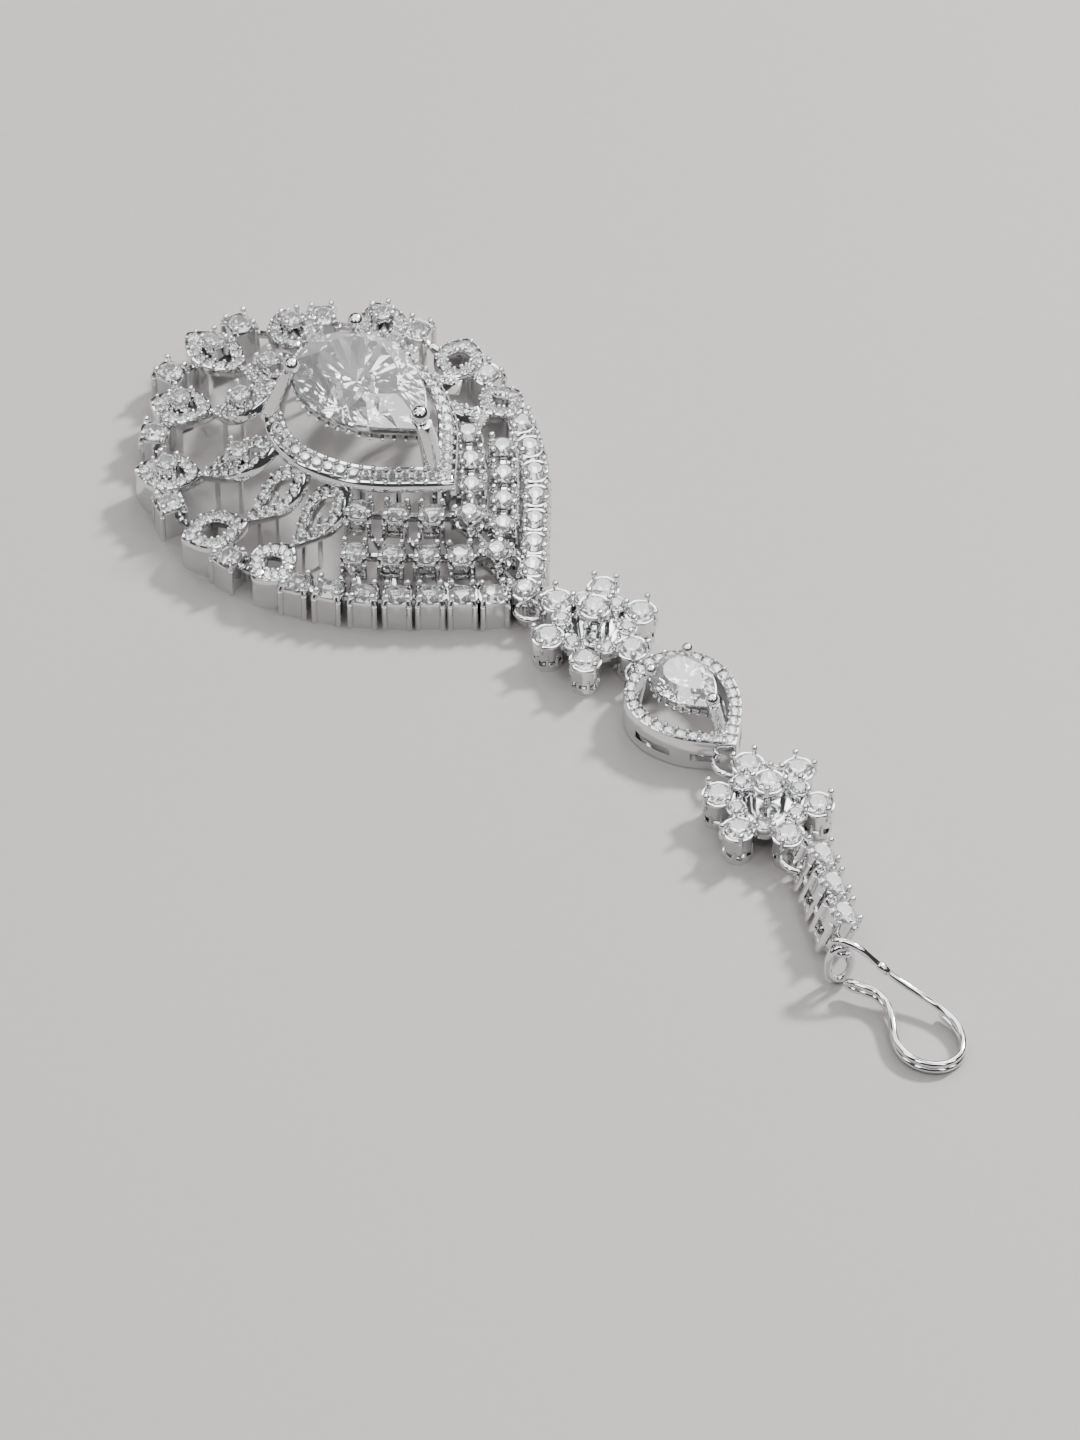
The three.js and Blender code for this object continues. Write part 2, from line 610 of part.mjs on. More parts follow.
function tennisLink(k) {
  const matrix = tennisPlace(k);
  const local = (x, y, z) => tennisPlace(k).multiply(place(x, y, z));
  let made = join([
    plate(rectangle(TENNIS_LENGTH, TENNIS_WIDTH - 0.3), -TENNIS_HEIGHT, -SEAT_DEPTH, matrix),
    ...claws(1.62, -TENNIS_HEIGHT, matrix, 0.75, 0.35, 43),
  ]);
  made = made.subtract(block(0.95, TENNIS_WIDTH * 2, 0.75, local(0, 0, -TENNIS_HEIGHT + 1.1)));
  if (k === TENNIS_COUNT - 1) made = join([made, endLoop()]);
  for (let j = 0; j + 1 < TENNIS_COUNT; j++) {
    made = made.subtract(channelAt(1.15, tennisRing(j)));
  }
  if (k === TENNIS_COUNT - 1) made = made.subtract(wire(hookEye(), HOOK_WIRE / 2 + 0.12));
  return cleared(made.subtract(roundStone(TENNIS_STONE, matrix, STONE_GAP)));
}

// Oval loop on the end of the last link, across the chain, that the hook hangs in
function endLoop() {
  const turn = (k) => (k / 12) * 2 * Math.PI;
  const oval = (k) => vec(0, END_LOOP.wide * Math.cos(turn(k)), END_LOOP.high * Math.sin(turn(k)));
  const r = END_LOOP.wire / 2;
  const sections = Array.from({ length: 12 }, (_, k) => {
    const c = oval(k);
    const out = vec(0, c.y / END_LOOP.wide, c.z / END_LOOP.high).normalize();
    const around = ([x, y]) => c.clone().add(vec(x, 0, 0)).addScaledVector(out, y).applyMatrix4(loopPlace);
    return polygon(r, 6).map(around);
  });
  const held = vec(0, END_LOOP.wide, -0.6).applyMatrix4(loopPlace);
  const inside = vec(TENNIS_LENGTH / 2 - 0.3, -0.3, -1.9).applyMatrix4(tennisPlace(TENNIS_COUNT - 1));
  return join([skin(sections, true), bar(inside, held, 0.6)]);
}

// Wire along a run of points, with sections that turn as little as they can
function wire(points, radius, sides = 6) {
  let normal = null;
  const sections = points.map((p, i) => {
    const back = points[Math.max(i - 1, 0)];
    const ahead = points[Math.min(i + 1, points.length - 1)];
    const t = ahead.clone().sub(back).normalize();
    if (!normal) normal = Math.abs(t.z) < 0.9 ? vec(0, 0, 1) : vec(1, 0, 0);
    normal = normal.clone().addScaledVector(t, -normal.dot(t)).normalize();
    const side = t.clone().cross(normal);
    const around = ([a, b]) => p.clone().addScaledVector(normal, a).addScaledVector(side, b);
    return polygon(radius, sides, 0).map(around);
  });
  return skin(sections);
}

// Upper strand of the hook from its neck round the teardrop and back to the hairpin: along, left and height
const HOOK_STRAND = [
  [0.3, -0.45, 3.75], [1.73, 0.63, 2.5], [3.79, 1.87, 1.7], [5.83, 2.74, 1.3], [7.52, 3.01, 1.15],
  [9.04, 2.72, 1.05], [10.26, 1.74, 1], [10.6, 0.38, 0.98], [10.06, -0.94, 1], [8.86, -1.91, 1.05],
  [7.39, -2.23, 1.1], [5.97, -1.91, 1.2], [4.58, -1.28, 1.35], [3.23, -0.85, 1.5], [1.93, -1.02, 1.65],
  [0.96, -1.68, 1.8],
].map(([along, left, z]) => {
  const spot = ahead(HOOK_START, along, left, 0);
  return [spot.x, spot.y, z];
});

// Eye of the hook, round the top of the end loop
function hookEye() {
  const top = vec(0, 0, END_LOOP.high).applyMatrix4(loopPlace);
  const neck = vec(...HOOK_STRAND[0]);
  const forward = neck.clone().sub(top).setZ(0).normalize();
  const around = [
    [-40, 0.95], [-75, 0.85], [-115, 0.8], [-155, 0.8], [165, 0.8], [125, 0.8], [85, 0.8], [50, 0.95],
  ];
  return around.map(([angle, reach]) => top.clone().addScaledVector(forward, reach * Math.cos(rad(angle)))
    .add(vec(0, 0, reach * Math.sin(rad(angle)))));
}

function hookPath() {
  const upper = HOOK_STRAND.map(([x, y, z]) => vec(x, y, z));
  const lower = [...upper].slice(3).reverse().map((p) => vec(p.x, p.y, p.z - STRAND_STEP));
  const last = upper[upper.length - 1];
  const turn = (back, down) => vec(last.x - back, last.y - 0.38 * back, last.z - down);
  const hairpin = [turn(0.75, 0), turn(1.1, STRAND_STEP / 2), turn(0.75, STRAND_STEP)];
  const eye = hookEye();
  const arrive = eye[eye.length - 1].clone().lerp(upper[0], 0.5).add(vec(0, 0, 0.3));
  return [...eye, arrive, ...upper, ...hairpin, ...lower];
}

// Pieces as meshes
function piece(name, solid, look) {
  const made = solid.getMesh();
  const geometry = new THREE.BufferGeometry();
  const count = made.numProp;
  const positions = new Float32Array(made.numVert * 3);
  for (let i = 0; i < made.numVert; i++) {
    positions.set(made.vertProperties.subarray(i * count, i * count + 3), i * 3);
  }
  geometry.setAttribute('position', new THREE.BufferAttribute(positions, 3));
  geometry.setIndex(new THREE.BufferAttribute(made.triVerts, 1));
  const flat = geometry.toNonIndexed();
  flat.computeVertexNormals();
  const mesh = new THREE.Mesh(flat, new THREE.MeshStandardMaterial({ ...look, flatShading: true }));
  mesh.name = name;
  group.add(mesh);
}

piece('pendant_frame', pendantFrame(), METAL);
piece('main_pear_stone', mainStone(), STONE);
[FLOWER_1, FLOWER_2].forEach((flower, f) => {
  piece(`flower_link_${f + 1}`, flowerFrame(flower), METAL);
  piece(`flower_${f + 1}_centre_stone`, roundStone(PETAL_STONE, flowerCentre(flower)), STONE);
  for (let k = 0; k < 6; k++) {
    piece(`flower_${f + 1}_petal_stone_${k + 1}`, roundStone(PETAL_STONE, petalPlace(flower, k)), STONE);
  }
});
piece('pear_link', pearLinkFrame(), METAL);
piece('pear_link_stone', pearStone(), STONE);
for (let k = 0; k < TENNIS_COUNT; k++) {
  piece(`tennis_link_${k + 1}`, tennisLink(k), METAL);
  piece(`tennis_stone_${k + 1}`, roundStone(TENNIS_STONE, tennisPlace(k)), STONE);
}
for (const ring of chainRings) piece(ring.name, ringAt(ring.radius, ring.matrix), METAL);
for (let k = 0; k + 1 < TENNIS_COUNT; k++) piece(`tennis_ring_${k + 1}`, ringAt(1.15, tennisRing(k)), METAL);
piece('hair_hook', wire(hookPath(), HOOK_WIRE / 2, 5), METAL);

// The frame's origin stands under the middle of the whole piece, on the table top
const bounds = new THREE.Box3().setFromObject(group);
const middle = bounds.getCenter(new THREE.Vector3());
for (const mesh of group.children) mesh.geometry.translate(-middle.x, -middle.y, -bounds.min.z);

export default group;
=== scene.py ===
# %% [markdown]
# # A maang tikka with clear stones
# The piece is worn in a parting of hair: a domed pear pendant, two flower links with a pear link
# between them, three straight stone-set links and a doubled wire hook. It is cast and soldered metal,
# plated bright. A round stone stands in four claws, a tiny one sits between beads, and three prongs
# hold a pear stone. The solids from CAD carry the sizes and the contacts. This script gives each solid
# its finer form: cut stones, round claws, fields of tiny stones.

# %% Set up
import bpy
import math
import numpy as np
from mathutils import Matrix, Vector


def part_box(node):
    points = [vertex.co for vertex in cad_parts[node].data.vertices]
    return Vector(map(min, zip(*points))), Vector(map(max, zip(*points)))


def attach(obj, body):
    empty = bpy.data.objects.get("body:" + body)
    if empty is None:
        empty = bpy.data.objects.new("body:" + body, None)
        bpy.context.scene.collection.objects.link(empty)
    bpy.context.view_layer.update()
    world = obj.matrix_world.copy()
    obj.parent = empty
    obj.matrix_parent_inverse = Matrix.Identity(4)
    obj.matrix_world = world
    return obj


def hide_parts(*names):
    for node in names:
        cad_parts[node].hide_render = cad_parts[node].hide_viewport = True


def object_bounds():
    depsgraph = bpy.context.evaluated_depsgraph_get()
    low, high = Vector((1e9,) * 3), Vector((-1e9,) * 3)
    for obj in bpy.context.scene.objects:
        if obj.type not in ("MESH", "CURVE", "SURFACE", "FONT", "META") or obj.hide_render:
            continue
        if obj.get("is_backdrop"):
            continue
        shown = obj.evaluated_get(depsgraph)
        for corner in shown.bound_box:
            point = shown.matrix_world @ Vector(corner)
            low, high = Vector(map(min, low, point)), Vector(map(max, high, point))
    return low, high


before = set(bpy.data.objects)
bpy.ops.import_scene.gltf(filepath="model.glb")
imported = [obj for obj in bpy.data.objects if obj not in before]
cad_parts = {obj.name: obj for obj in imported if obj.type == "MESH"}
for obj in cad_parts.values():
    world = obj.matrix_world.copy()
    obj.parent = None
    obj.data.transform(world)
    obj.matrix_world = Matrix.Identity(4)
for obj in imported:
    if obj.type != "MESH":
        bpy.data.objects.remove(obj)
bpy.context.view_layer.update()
MM = 0.001

# %% [markdown]
# ## Where everything stands
# All work is in millimetres from the stone at the pendant's tip, with +X towards the hook and z = 0 on
# the table. The frame keeps the middle of the whole piece at its origin, so one shift joins the two.
# It is read from the pendant's solid, whose farthest edge in +X is the side of the tip's cup.

# %% From the frame to the pendant's tip
CUP_ALONG = 2.4
CUP_ACROSS = 2.5
pendant_low, pendant_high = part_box("pendant_frame")
SHIFT = Vector((
    pendant_high.x / MM - CUP_ACROSS / 2,
    (pendant_low.y + pendant_high.y) / 2 / MM,
    pendant_low.z / MM,
))
print("shift from the tip to the frame in mm:", [round(v, 3) for v in SHIFT])

# %% [markdown]
# ## Places on the pendant
# The dome is built up in levels: the rim, two rows above it, the halo, and the main stone on top. Each
# list gives one side of the pendant, from its tip round to the back, and the other side mirrors it.
# The places are given one by one, because the real rows curve a little and follow no single arc.

# %% Places and sizes
RIM_TOP = 3.6
ROW_RISE = 2.15
MIDDLE_TOP = RIM_TOP + ROW_RISE
INNER_TOP = RIM_TOP + 2 * ROW_RISE
HALO_TOP = RIM_TOP + 6.4
STONE_GIRDLE = RIM_TOP + 10.2
BALL_TOP = RIM_TOP + 12.1
SMALL_STONE = 2.2
ROW_CUP_HEIGHT = 2.5
RIM_ROW = [
    (0, 0), (-1.4, 2.3), (-3.2, 4.25), (-5.1, 6.2),
    (-7.05, 8.2), (-9.15, 10.15), (-11.55, 11.9), (-14.1, 13.35),
]
MIDDLE_ROW = [(-3.4, 0), (-5.2, 2.5), (-7.2, 4.55), (-9.35, 6.65), (-11.7, 8.75)]
INNER_ROW = [(-6.7, 0), (-8.85, 2.35), (-11.05, 4.4), (-13.5, 6.4)]
LONE_STONES = [(-20.3, 15.3), (-28.35, 14.7), (-35.35, 9.95), (-39.7, 4.1)]
# Outer end, joint and inner end of a pair, and whether a stone is raised over each leaf.
LEAF_PAIRS = [
    ((-42.1, 0), (-34.9, 0), (-28.1, 0), True),
    ((-38.4, 7.8), (-33.0, 5.4), (-27.4, 3.6), True),
    ((-33.3, 14.3), (-28.2, 11.2), (-22.9, 7.1), True),
    ((-24.5, 17.0), (-21.5, 12.1), (-19.2, 7.2), False),
    ((-16.8, 15.9), (-16.7, 11.3), (-15.4, 6.2), False),
]
LEAF_THICK = 0.9
LEAF_BAND = 1.3
OUTER_LEAF_WIDTH = 4.4
INNER_LEAF_WIDTH = 4.3
LEAF_JOINT_RISE = 0.7
LEAF_END_RISE = 5.6
RAISED_OVER_LEAF = 1.45
RAISED_CUP = 2.15
RAISED_STONE = 1.8
print("places on one side:", sum(len(row) for row in (RIM_ROW, MIDDLE_ROW, INNER_ROW, LONE_STONES)))

# %% [markdown]
# ## Shapes
# A shape is an array of points and a list of faces. Almost every piece of cast jewellery is a run of
# sections: a claw is a pile of circles, a band is a profile carried round an outline, a wire is a circle
# carried along a path. One loft makes them all. Each closed shape is turned so that its faces look out,
# which a clear stone needs to bend light the right way.

# %% Lofts
def outward(points, faces):
    """Turn the faces so that the volume inside them is positive."""
    points = np.asarray(points, float)
    centre = points.mean(0)
    volume = 0.0
    for f in faces:
        for a, b in zip(f[1:-1], f[2:]):
            p, q, r = points[f[0]] - centre, points[a] - centre, points[b] - centre
            volume += np.dot(p, np.cross(q, r))
    return (points, faces) if volume > 0 else (points, [tuple(reversed(f)) for f in faces])


def loft(sections, looped=False):
    """Skin over sections with equally many points, closed by two caps or looped on itself."""
    count = len(sections[0])
    steps = len(sections) if looped else len(sections) - 1
    faces = []
    for i in range(steps):
        a, b = i * count, (i + 1) % len(sections) * count
        for k in range(count):
            l = (k + 1) % count
            faces.append((a + k, a + l, b + l, b + k))
    if not looped:
        last = (len(sections) - 1) * count
        faces.append(tuple(range(count - 1, -1, -1)))
        faces.append(tuple(range(last, last + count)))
    return outward(np.concatenate([np.asarray(s, float) for s in sections]), faces)


def merge(shapes):
    points, faces, start = [], [], 0
    for p, f in shapes:
        points.append(p)
        faces.extend(tuple(i + start for i in face) for face in f)
        start += len(p)
    return np.concatenate(points), faces


def moved(shape, matrix):
    m = np.array(matrix)
    return shape[0] @ m[:3, :3].T + m[:3, 3], shape[1]


def place(x, y, z, turn=0.0, roll=0.0):
    heading = Matrix.Rotation(math.radians(turn), 4, "Z")
    rolled = Matrix.Rotation(math.radians(-roll), 4, "X")
    return Matrix.Translation((x, y, z)) @ heading @ rolled


square = [(0, 0), (1, 0), (1, 1), (0, 1)]
box = loft([[(x, y, z) for x, y in square] for z in (0, 1)])
print("faces of a box lofted from two squares:", len(box[1]))

# %% Places on the table
def ahead(start, along, left, turn):
    """Spot on the table that lies on from another along its heading, and to the left of it."""
    x, y, heading = start
    t = math.radians(heading)
    return (x + along * math.cos(t) - left * math.sin(t), y + along * math.sin(t) + left * math.cos(t), turn)


def place_on(start, along, left, z, roll=0.0):
    x, y, turn = ahead(start, along, left, start[2])
    return place(x, y, z, turn, roll)


print("a step of 1 mm ahead at 90 degrees:", [round(v, 3) for v in ahead((0, 0, 90), 1, 0, 90)])

# %% Circle
def circle(centre, radius, sides):
    t = (np.arange(sides) + 0.5) / sides * 2 * math.pi
    x, y, z = centre
    return np.stack([x + radius * np.cos(t), y + radius * np.sin(t), np.full(sides, z)], 1)


print("points of a circle with 8 sides:", len(circle((0, 0, 0), 1.0, 8)))

# %% [markdown]
# ## Round claws and cups
# A claw is a thin post with a ball on its head, pushed over the edge of the stone. A cup is a short
# square tube with round corners, open at the top for the stone's lower half, and a claw runs down each
# of its corners to the foot. Side by side those claws make the fluted look of the pendant's rim. In the
# two rows above, a cup is a short seat and a foot ring with only the claws between them.

# %% A claw
def post(foot, head, radius, ball, sides=8):
    foot, head = np.array(foot, float), np.array(head, float)
    neck = head + (foot - head) * min(0.75 * ball / max(np.linalg.norm(head - foot), 1e-6), 0.8)
    rings = [circle(foot, radius * 1.05, sides), circle(neck, radius, sides)]
    for angle in (-35, 0, 32, 62, 84):
        a = math.radians(angle)
        rings.append(circle(head + [0, 0, ball * math.sin(a)], ball * math.cos(a), sides))
    return loft(rings)


print("faces of a claw:", len(post((0, 0, -1), (0, 0, 0), 0.2, 0.3)[1]))

# %% A cup
CUP_WALL = 0.3
CUP_LIP = 0.35


def rounded(along, across, corner, z, per=3):
    points = []
    for sx, sy, start in ((1, 1, 0), (-1, 1, 90), (-1, -1, 180), (1, -1, 270)):
        for k in range(per):
            t = math.radians(start + 90 * k / (per - 1))
            x = sx * (along / 2 - corner) + corner * math.cos(t)
            y = sy * (across / 2 - corner) + corner * math.sin(t)
            points.append((x, y, z))
    return np.array(points)


def tube_cup(height, along, across, corner, wall, top=-0.42, flare=0.93):
    inner = max(corner - wall, 0.1)
    size = lambda grow: (along * grow, across * grow)
    hollow = lambda z, grow: rounded(along * grow - 2 * wall, across * grow - 2 * wall, inner, z)
    sections = [
        rounded(*size(flare), corner, -height),
        rounded(*size(flare), corner, -height + CUP_LIP),
        rounded(*size(0.98), corner, top - CUP_LIP),
        rounded(*size(1.0), corner, top - 0.1),
        rounded(*size(0.96), corner, top),
        hollow(top, 1.0),
        hollow(top - CUP_LIP, 0.9),
        hollow(-height + 0.05, 0.86),
    ]
    return loft(sections, looped=True)


print("faces of a cup:", len(tube_cup(RIM_TOP, CUP_ALONG, CUP_ACROSS, 0.6, CUP_WALL)[1]))

# %% Claws round a cup
CLAW_BEND = -0.55
CLAW_INSET = 0.16
CLAW_REACH = 0.72
CLAW_OVERHANG = 1.09
CLAW_RADIUS = 0.25
CLAW_BALL = 0.31
CLAW_RISE = 0.18
GALLERY_SEAT = 1.2
GALLERY_FOOT = 0.55


def square_claws(low, reach_low, reach_top, lean, radius, ball, rise):
    """Four claws that rise to a bend below the stone's table and lean over its edge."""
    shapes = []
    for sx in (-1, 1):
        for sy in (-1, 1):
            foot = (sx * reach_low[0], sy * reach_low[1], low)
            bend = (sx * reach_top[0], sy * reach_top[1], CLAW_BEND)
            head = (sx * lean, sy * lean, rise)
            shapes.append(post(foot, bend, radius, radius * 0.98))
            shapes.append(post(bend, head, radius * 0.95, ball))
    return shapes


def corner_claws(height, along, across, stone):
    lean = CLAW_REACH * stone / 2 * CLAW_OVERHANG
    corner = (along / 2 - CLAW_INSET, across / 2 - CLAW_INSET)
    return square_claws(-height, corner, corner, lean, CLAW_RADIUS, CLAW_BALL, CLAW_RISE)


def wall_cup(height, along=CUP_ALONG, across=CUP_ACROSS, stone=SMALL_STONE):
    return merge([tube_cup(height, along * 1.08, across * 0.92, 0.6, CUP_WALL, flare=0.99),
                  *corner_claws(height, along, across, stone)])


def gallery_cup(height, along=CUP_ALONG * 0.9, across=CUP_ACROSS, stone=SMALL_STONE):
    seat = tube_cup(GALLERY_SEAT, along * 0.93, across * 0.92, 0.4, CUP_WALL, flare=0.96)
    foot = tube_cup(GALLERY_FOOT, along * 0.88, across * 0.86, 0.4, CUP_WALL, top=0.0, flare=1.0)
    foot = moved(foot, Matrix.Translation((0, 0, GALLERY_FOOT - height)))
    return merge([seat, foot, *corner_claws(height, along, across, stone)])


rim_cup = wall_cup(RIM_TOP)
inner_cup = gallery_cup(ROW_CUP_HEIGHT)
print("faces of a rim cup:", len(rim_cup[1]))

# %% [markdown]
# ## Cut stones
# A brilliant has a flat table, kites and small triangles round it, a thin girdle, and long facets below
# that meet at a point. The same net of facets serves round and pear stones: only the outline changes,
# so one function takes the outline as a list of points and pulls the net in towards its middle. Two
# rings of corners below the girdle, not one, break the light into smaller flashes.

# %% Cut stones
def brilliant(outline, table=0.57, crown=0.16, girdle=0.02, pavilion=0.43, middle=None, width=1.0):
    """Net of facets from the table down to the point; depths are shares of the stone's width."""
    rim = np.asarray(outline, float)
    mains = len(rim) // 2
    centre = rim.mean(0) if middle is None else np.array(middle, float)

    def pulled(k, share, z):
        near, far = rim[math.floor(k) % len(rim)], rim[math.ceil(k) % len(rim)]
        x, y = centre + ((near + far) / 2 - centre) * share
        return (x, y, z * width)

    points = [pulled(2 * k, table, 0.0) for k in range(mains)]
    points += [pulled(2 * k + 1, (table + 1) / 2 * 1.01, -0.55 * crown) for k in range(mains)]
    points += [pulled(j, 1.0, -crown) for j in range(2 * mains)]
    points += [pulled(j, 1.0, -crown - girdle) for j in range(2 * mains)]
    points += [pulled(2 * k + 1, 0.6, -crown - girdle - 0.5 * pavilion) for k in range(mains)]
    points += [pulled(2 * k, 0.26, -crown - girdle - 0.8 * pavilion) for k in range(mains)]
    points.append((*centre, (-crown - girdle - pavilion) * width))
    star, top, low, mid, deep, culet = (mains * m for m in (1, 2, 4, 6, 7, 8))
    faces = [tuple(range(mains))]
    for k in range(mains):
        n, p, rims = (k + 1) % mains, (k - 1) % mains, 2 * mains
        a, b, c = 2 * k, 2 * k + 1, (2 * k + 2) % rims
        faces += [(k, star + k, n), (k, star + p, top + a, star + k)]
        faces += [(star + k, top + a, top + b), (star + k, top + b, top + c)]
        faces += [(top + a, low + a, low + b, top + b), (top + b, low + b, low + c, top + c)]
        faces += [(low + a, mid + k, low + b), (low + b, mid + k, low + c)]
        faces += [(low + a, mid + p, deep + k), (low + a, deep + k, mid + k)]
        faces += [(mid + k, deep + k, deep + n), (deep + k, culet, deep + n)]
    return outward(points, faces)


print("facets over an outline of 16 points:", len(brilliant(circle((0, 0, 0), 1.0, 16)[:, :2])[1]))

# %% Stones that are stamped
STONE_TURN = 0.2
PAVE_STONE = 0.95
PAVE_BEAD = 0.2


def round_brilliant(diameter, mains=8, **cut):
    t = np.arange(2 * mains) / (2 * mains) * 2 * math.pi + STONE_TURN
    outline = np.stack([np.cos(t), np.sin(t)], 1) * diameter / 2
    return brilliant(outline, width=diameter, **cut)


row_stone = round_brilliant(SMALL_STONE)
raised_stone = round_brilliant(RAISED_STONE)
pave_stone = round_brilliant(PAVE_STONE, mains=6)
pave_bead = loft([circle((0, 0, z * PAVE_BEAD), r * PAVE_BEAD, 6)
                  for z, r in ((-1.0, 0.9), (0.1, 1.0), (0.7, 0.7), (0.98, 0.2))])
print("facets of a round stone:", len(row_stone[1]))

# %% [markdown]
# ## Outlines and paths
# The halo, the pear stones and the pear link share one pear curve, given as shares of its length and
# half width. A spline through a few points stands for every soft curve, and an even walk along it sets
# the stones at equal steps.

# %% Curves
PEAR_SHARES = [
    (0, 0), (0.05, 0.15), (0.1, 0.28), (0.19, 0.52), (0.29, 0.73), (0.41, 0.89), (0.53, 0.985),
    (0.62, 1), (0.72, 0.97), (0.83, 0.83), (0.92, 0.6), (0.98, 0.3),
]


def spline(points, per=8):
    p = np.asarray(points, float)
    ends = np.vstack([2 * p[0] - p[1], p, 2 * p[-1] - p[-2]])
    run = []
    for a, b, c, d in zip(ends, ends[1:], ends[2:], ends[3:]):
        for t in np.arange(per) / per:
            run.append(0.5 * (2 * b + (c - a) * t + (2 * a - 5 * b + 4 * c - d) * t * t
                              + (3 * b - a - 3 * c + d) * t ** 3))
    return np.array(run + [p[-1]])


def walk(points, count, closed=False):
    p = np.vstack([points, points[:1]]) if closed else np.asarray(points, float)
    steps = np.linalg.norm(np.diff(p, axis=0), axis=1)
    along = np.concatenate([[0], np.cumsum(steps)])
    at = np.linspace(0, along[-1], count + 1)[:-1] if closed else np.linspace(0, along[-1], count)
    return np.stack([np.interp(at, along, p[:, i]) for i in range(p.shape[1])], 1)


def pear(tip, length, width, count):
    upper = [(tip - s * length, w * width / 2) for s, w in PEAR_SHARES]
    lower = [(x, -y) for x, y in reversed(upper)]
    return walk(spline(upper + [(tip - length, 0)] + lower), count + 1)[:-1]


def offset(outline, distance):
    back = outline - np.roll(outline, 1, 0)
    ahead = np.roll(outline, -1, 0) - outline
    turned = lambda v: np.stack([v[:, 1], -v[:, 0]], 1) / np.linalg.norm(v, axis=1)[:, None]
    a, b = turned(back), turned(ahead)
    x, y = outline.T
    area = np.sum(x * np.roll(y, -1) - np.roll(x, -1) * y)
    side = 1 if area > 0 else -1
    return outline + side * distance * (a + b) / (1 + np.sum(a * b, 1))[:, None]


def band(outer, inner, profile):
    """Ring whose profile is given as shares from the outer to the inner edge, and heights."""
    sections = [[o + (i - o) * s + np.array([0, 0, z]) for s, z in profile] for o, i in zip(outer, inner)]
    return loft(sections, looped=True)


def with_z(outline, z):
    return np.column_stack([outline, np.full(len(outline), z)])


print("points of the pear curve:", len(PEAR_SHARES))

# %% Wire
WIRE_END = 0.6


def wire(points, radius, sides=10, closed=False):
    """Round wire along a path, with a cross direction carried along so that it never twists."""
    p = np.asarray(points, float)
    n = len(p)
    normal = np.array([0.0, 0.0, 1.0])
    sections = []
    for i in range(n):
        back, ahead = (p[i - 1], p[(i + 1) % n]) if closed else (p[max(i - 1, 0)], p[min(i + 1, n - 1)])
        t = (ahead - back) / np.linalg.norm(ahead - back)
        if i == 0 and abs(t[2]) > 0.9:
            normal = np.array([1.0, 0.0, 0.0])
        normal = normal - t * np.dot(normal, t)
        normal /= np.linalg.norm(normal)
        side = np.cross(t, normal)
        a = np.arange(sides) / sides * 2 * math.pi
        sections.append(p[i] + radius * (np.cos(a)[:, None] * normal + np.sin(a)[:, None] * side))
    if not closed:
        ends = [(sections[0], p[0], p[0] - p[1]), (sections[-1], p[-1], p[-1] - p[-2])]
        caps = [c + (s - c) * WIRE_END + radius * WIRE_END * d / np.linalg.norm(d) for s, c, d in ends]
        sections = [caps[0], *sections, caps[1]]
    return loft(sections, looped=closed)


def frame_at(point, ahead, up):
    """Place with its own z along up and its own x along ahead."""
    z = Vector(up).normalized()
    x = (Vector(ahead) - Vector(ahead).dot(z) * z).normalized()
    y = z.cross(x)
    m = Matrix((x, y, z)).transposed().to_4x4()
    m.translation = Vector(point)
    return m


print("faces of a straight wire:", len(wire([(0, 0, 0), (1, 0, 0)], 0.3)[1]))

# %% [markdown]
# ## Bodies
# The settings of each CAD piece are gathered in one mesh and its stones in another, so that metal and
# stone each take their own material. Metal is shaded smooth with its edges kept sharp, stone is shaded
# flat, because a cut facet is a plane.

# %% Gathering shapes
SHARP_ANGLE = 38.0


class Body:
    """A mesh gathered from shapes that are stamped at places, in millimetres from the pendant's tip."""

    def __init__(self):
        self.shapes = []

    def add(self, shape, at=None):
        self.shapes.append(shape if at is None else moved(shape, at))

    def build(self, name, material, slot_name, nodes, smooth=True):
        points, faces = merge(self.shapes)
        mesh = bpy.data.meshes.new(name)
        mesh.from_pydata(((points + np.array(SHIFT)) * MM).tolist(), [], faces)
        mesh.materials.append(material)
        if smooth:
            mesh.shade_smooth()
            mesh.set_sharp_from_angle(angle=math.radians(SHARP_ANGLE))
        else:
            mesh.shade_flat()
        piece = bpy.data.objects.new(name, mesh)
        bpy.context.scene.collection.objects.link(piece)
        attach(piece, "root")
        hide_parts(*nodes)
        triangles = sum(len(f) - 2 for f in faces)
        print(f"{name}: {triangles} triangles")
        return triangles


# %% [markdown]
# ## Shader maths
# A finish is a sum of small effects. Joining Math nodes by hand hides that sum, so a small class wraps
# a socket and lets Python's own signs add the nodes. Any other node comes from one method, which takes
# its type, its settings and the values or links of its sockets.

# %% Shader maths
class Term:
    """A value socket that can be added, multiplied and so on."""

    def __init__(self, shader, socket):
        self.shader, self.socket = shader, socket

    def _math(self, operation, a, b):
        return self.shader.node("ShaderNodeMath", {"operation": operation}, {0: a, 1: b})

    def __add__(self, other):
        return self._math("ADD", self, other)

    def __radd__(self, other):
        return self._math("ADD", other, self)

    def __sub__(self, other):
        return self._math("SUBTRACT", self, other)

    def __rsub__(self, other):
        return self._math("SUBTRACT", other, self)

    def __mul__(self, other):
        return self._math("MULTIPLY", self, other)

    def __rmul__(self, other):
        return self._math("MULTIPLY", other, self)


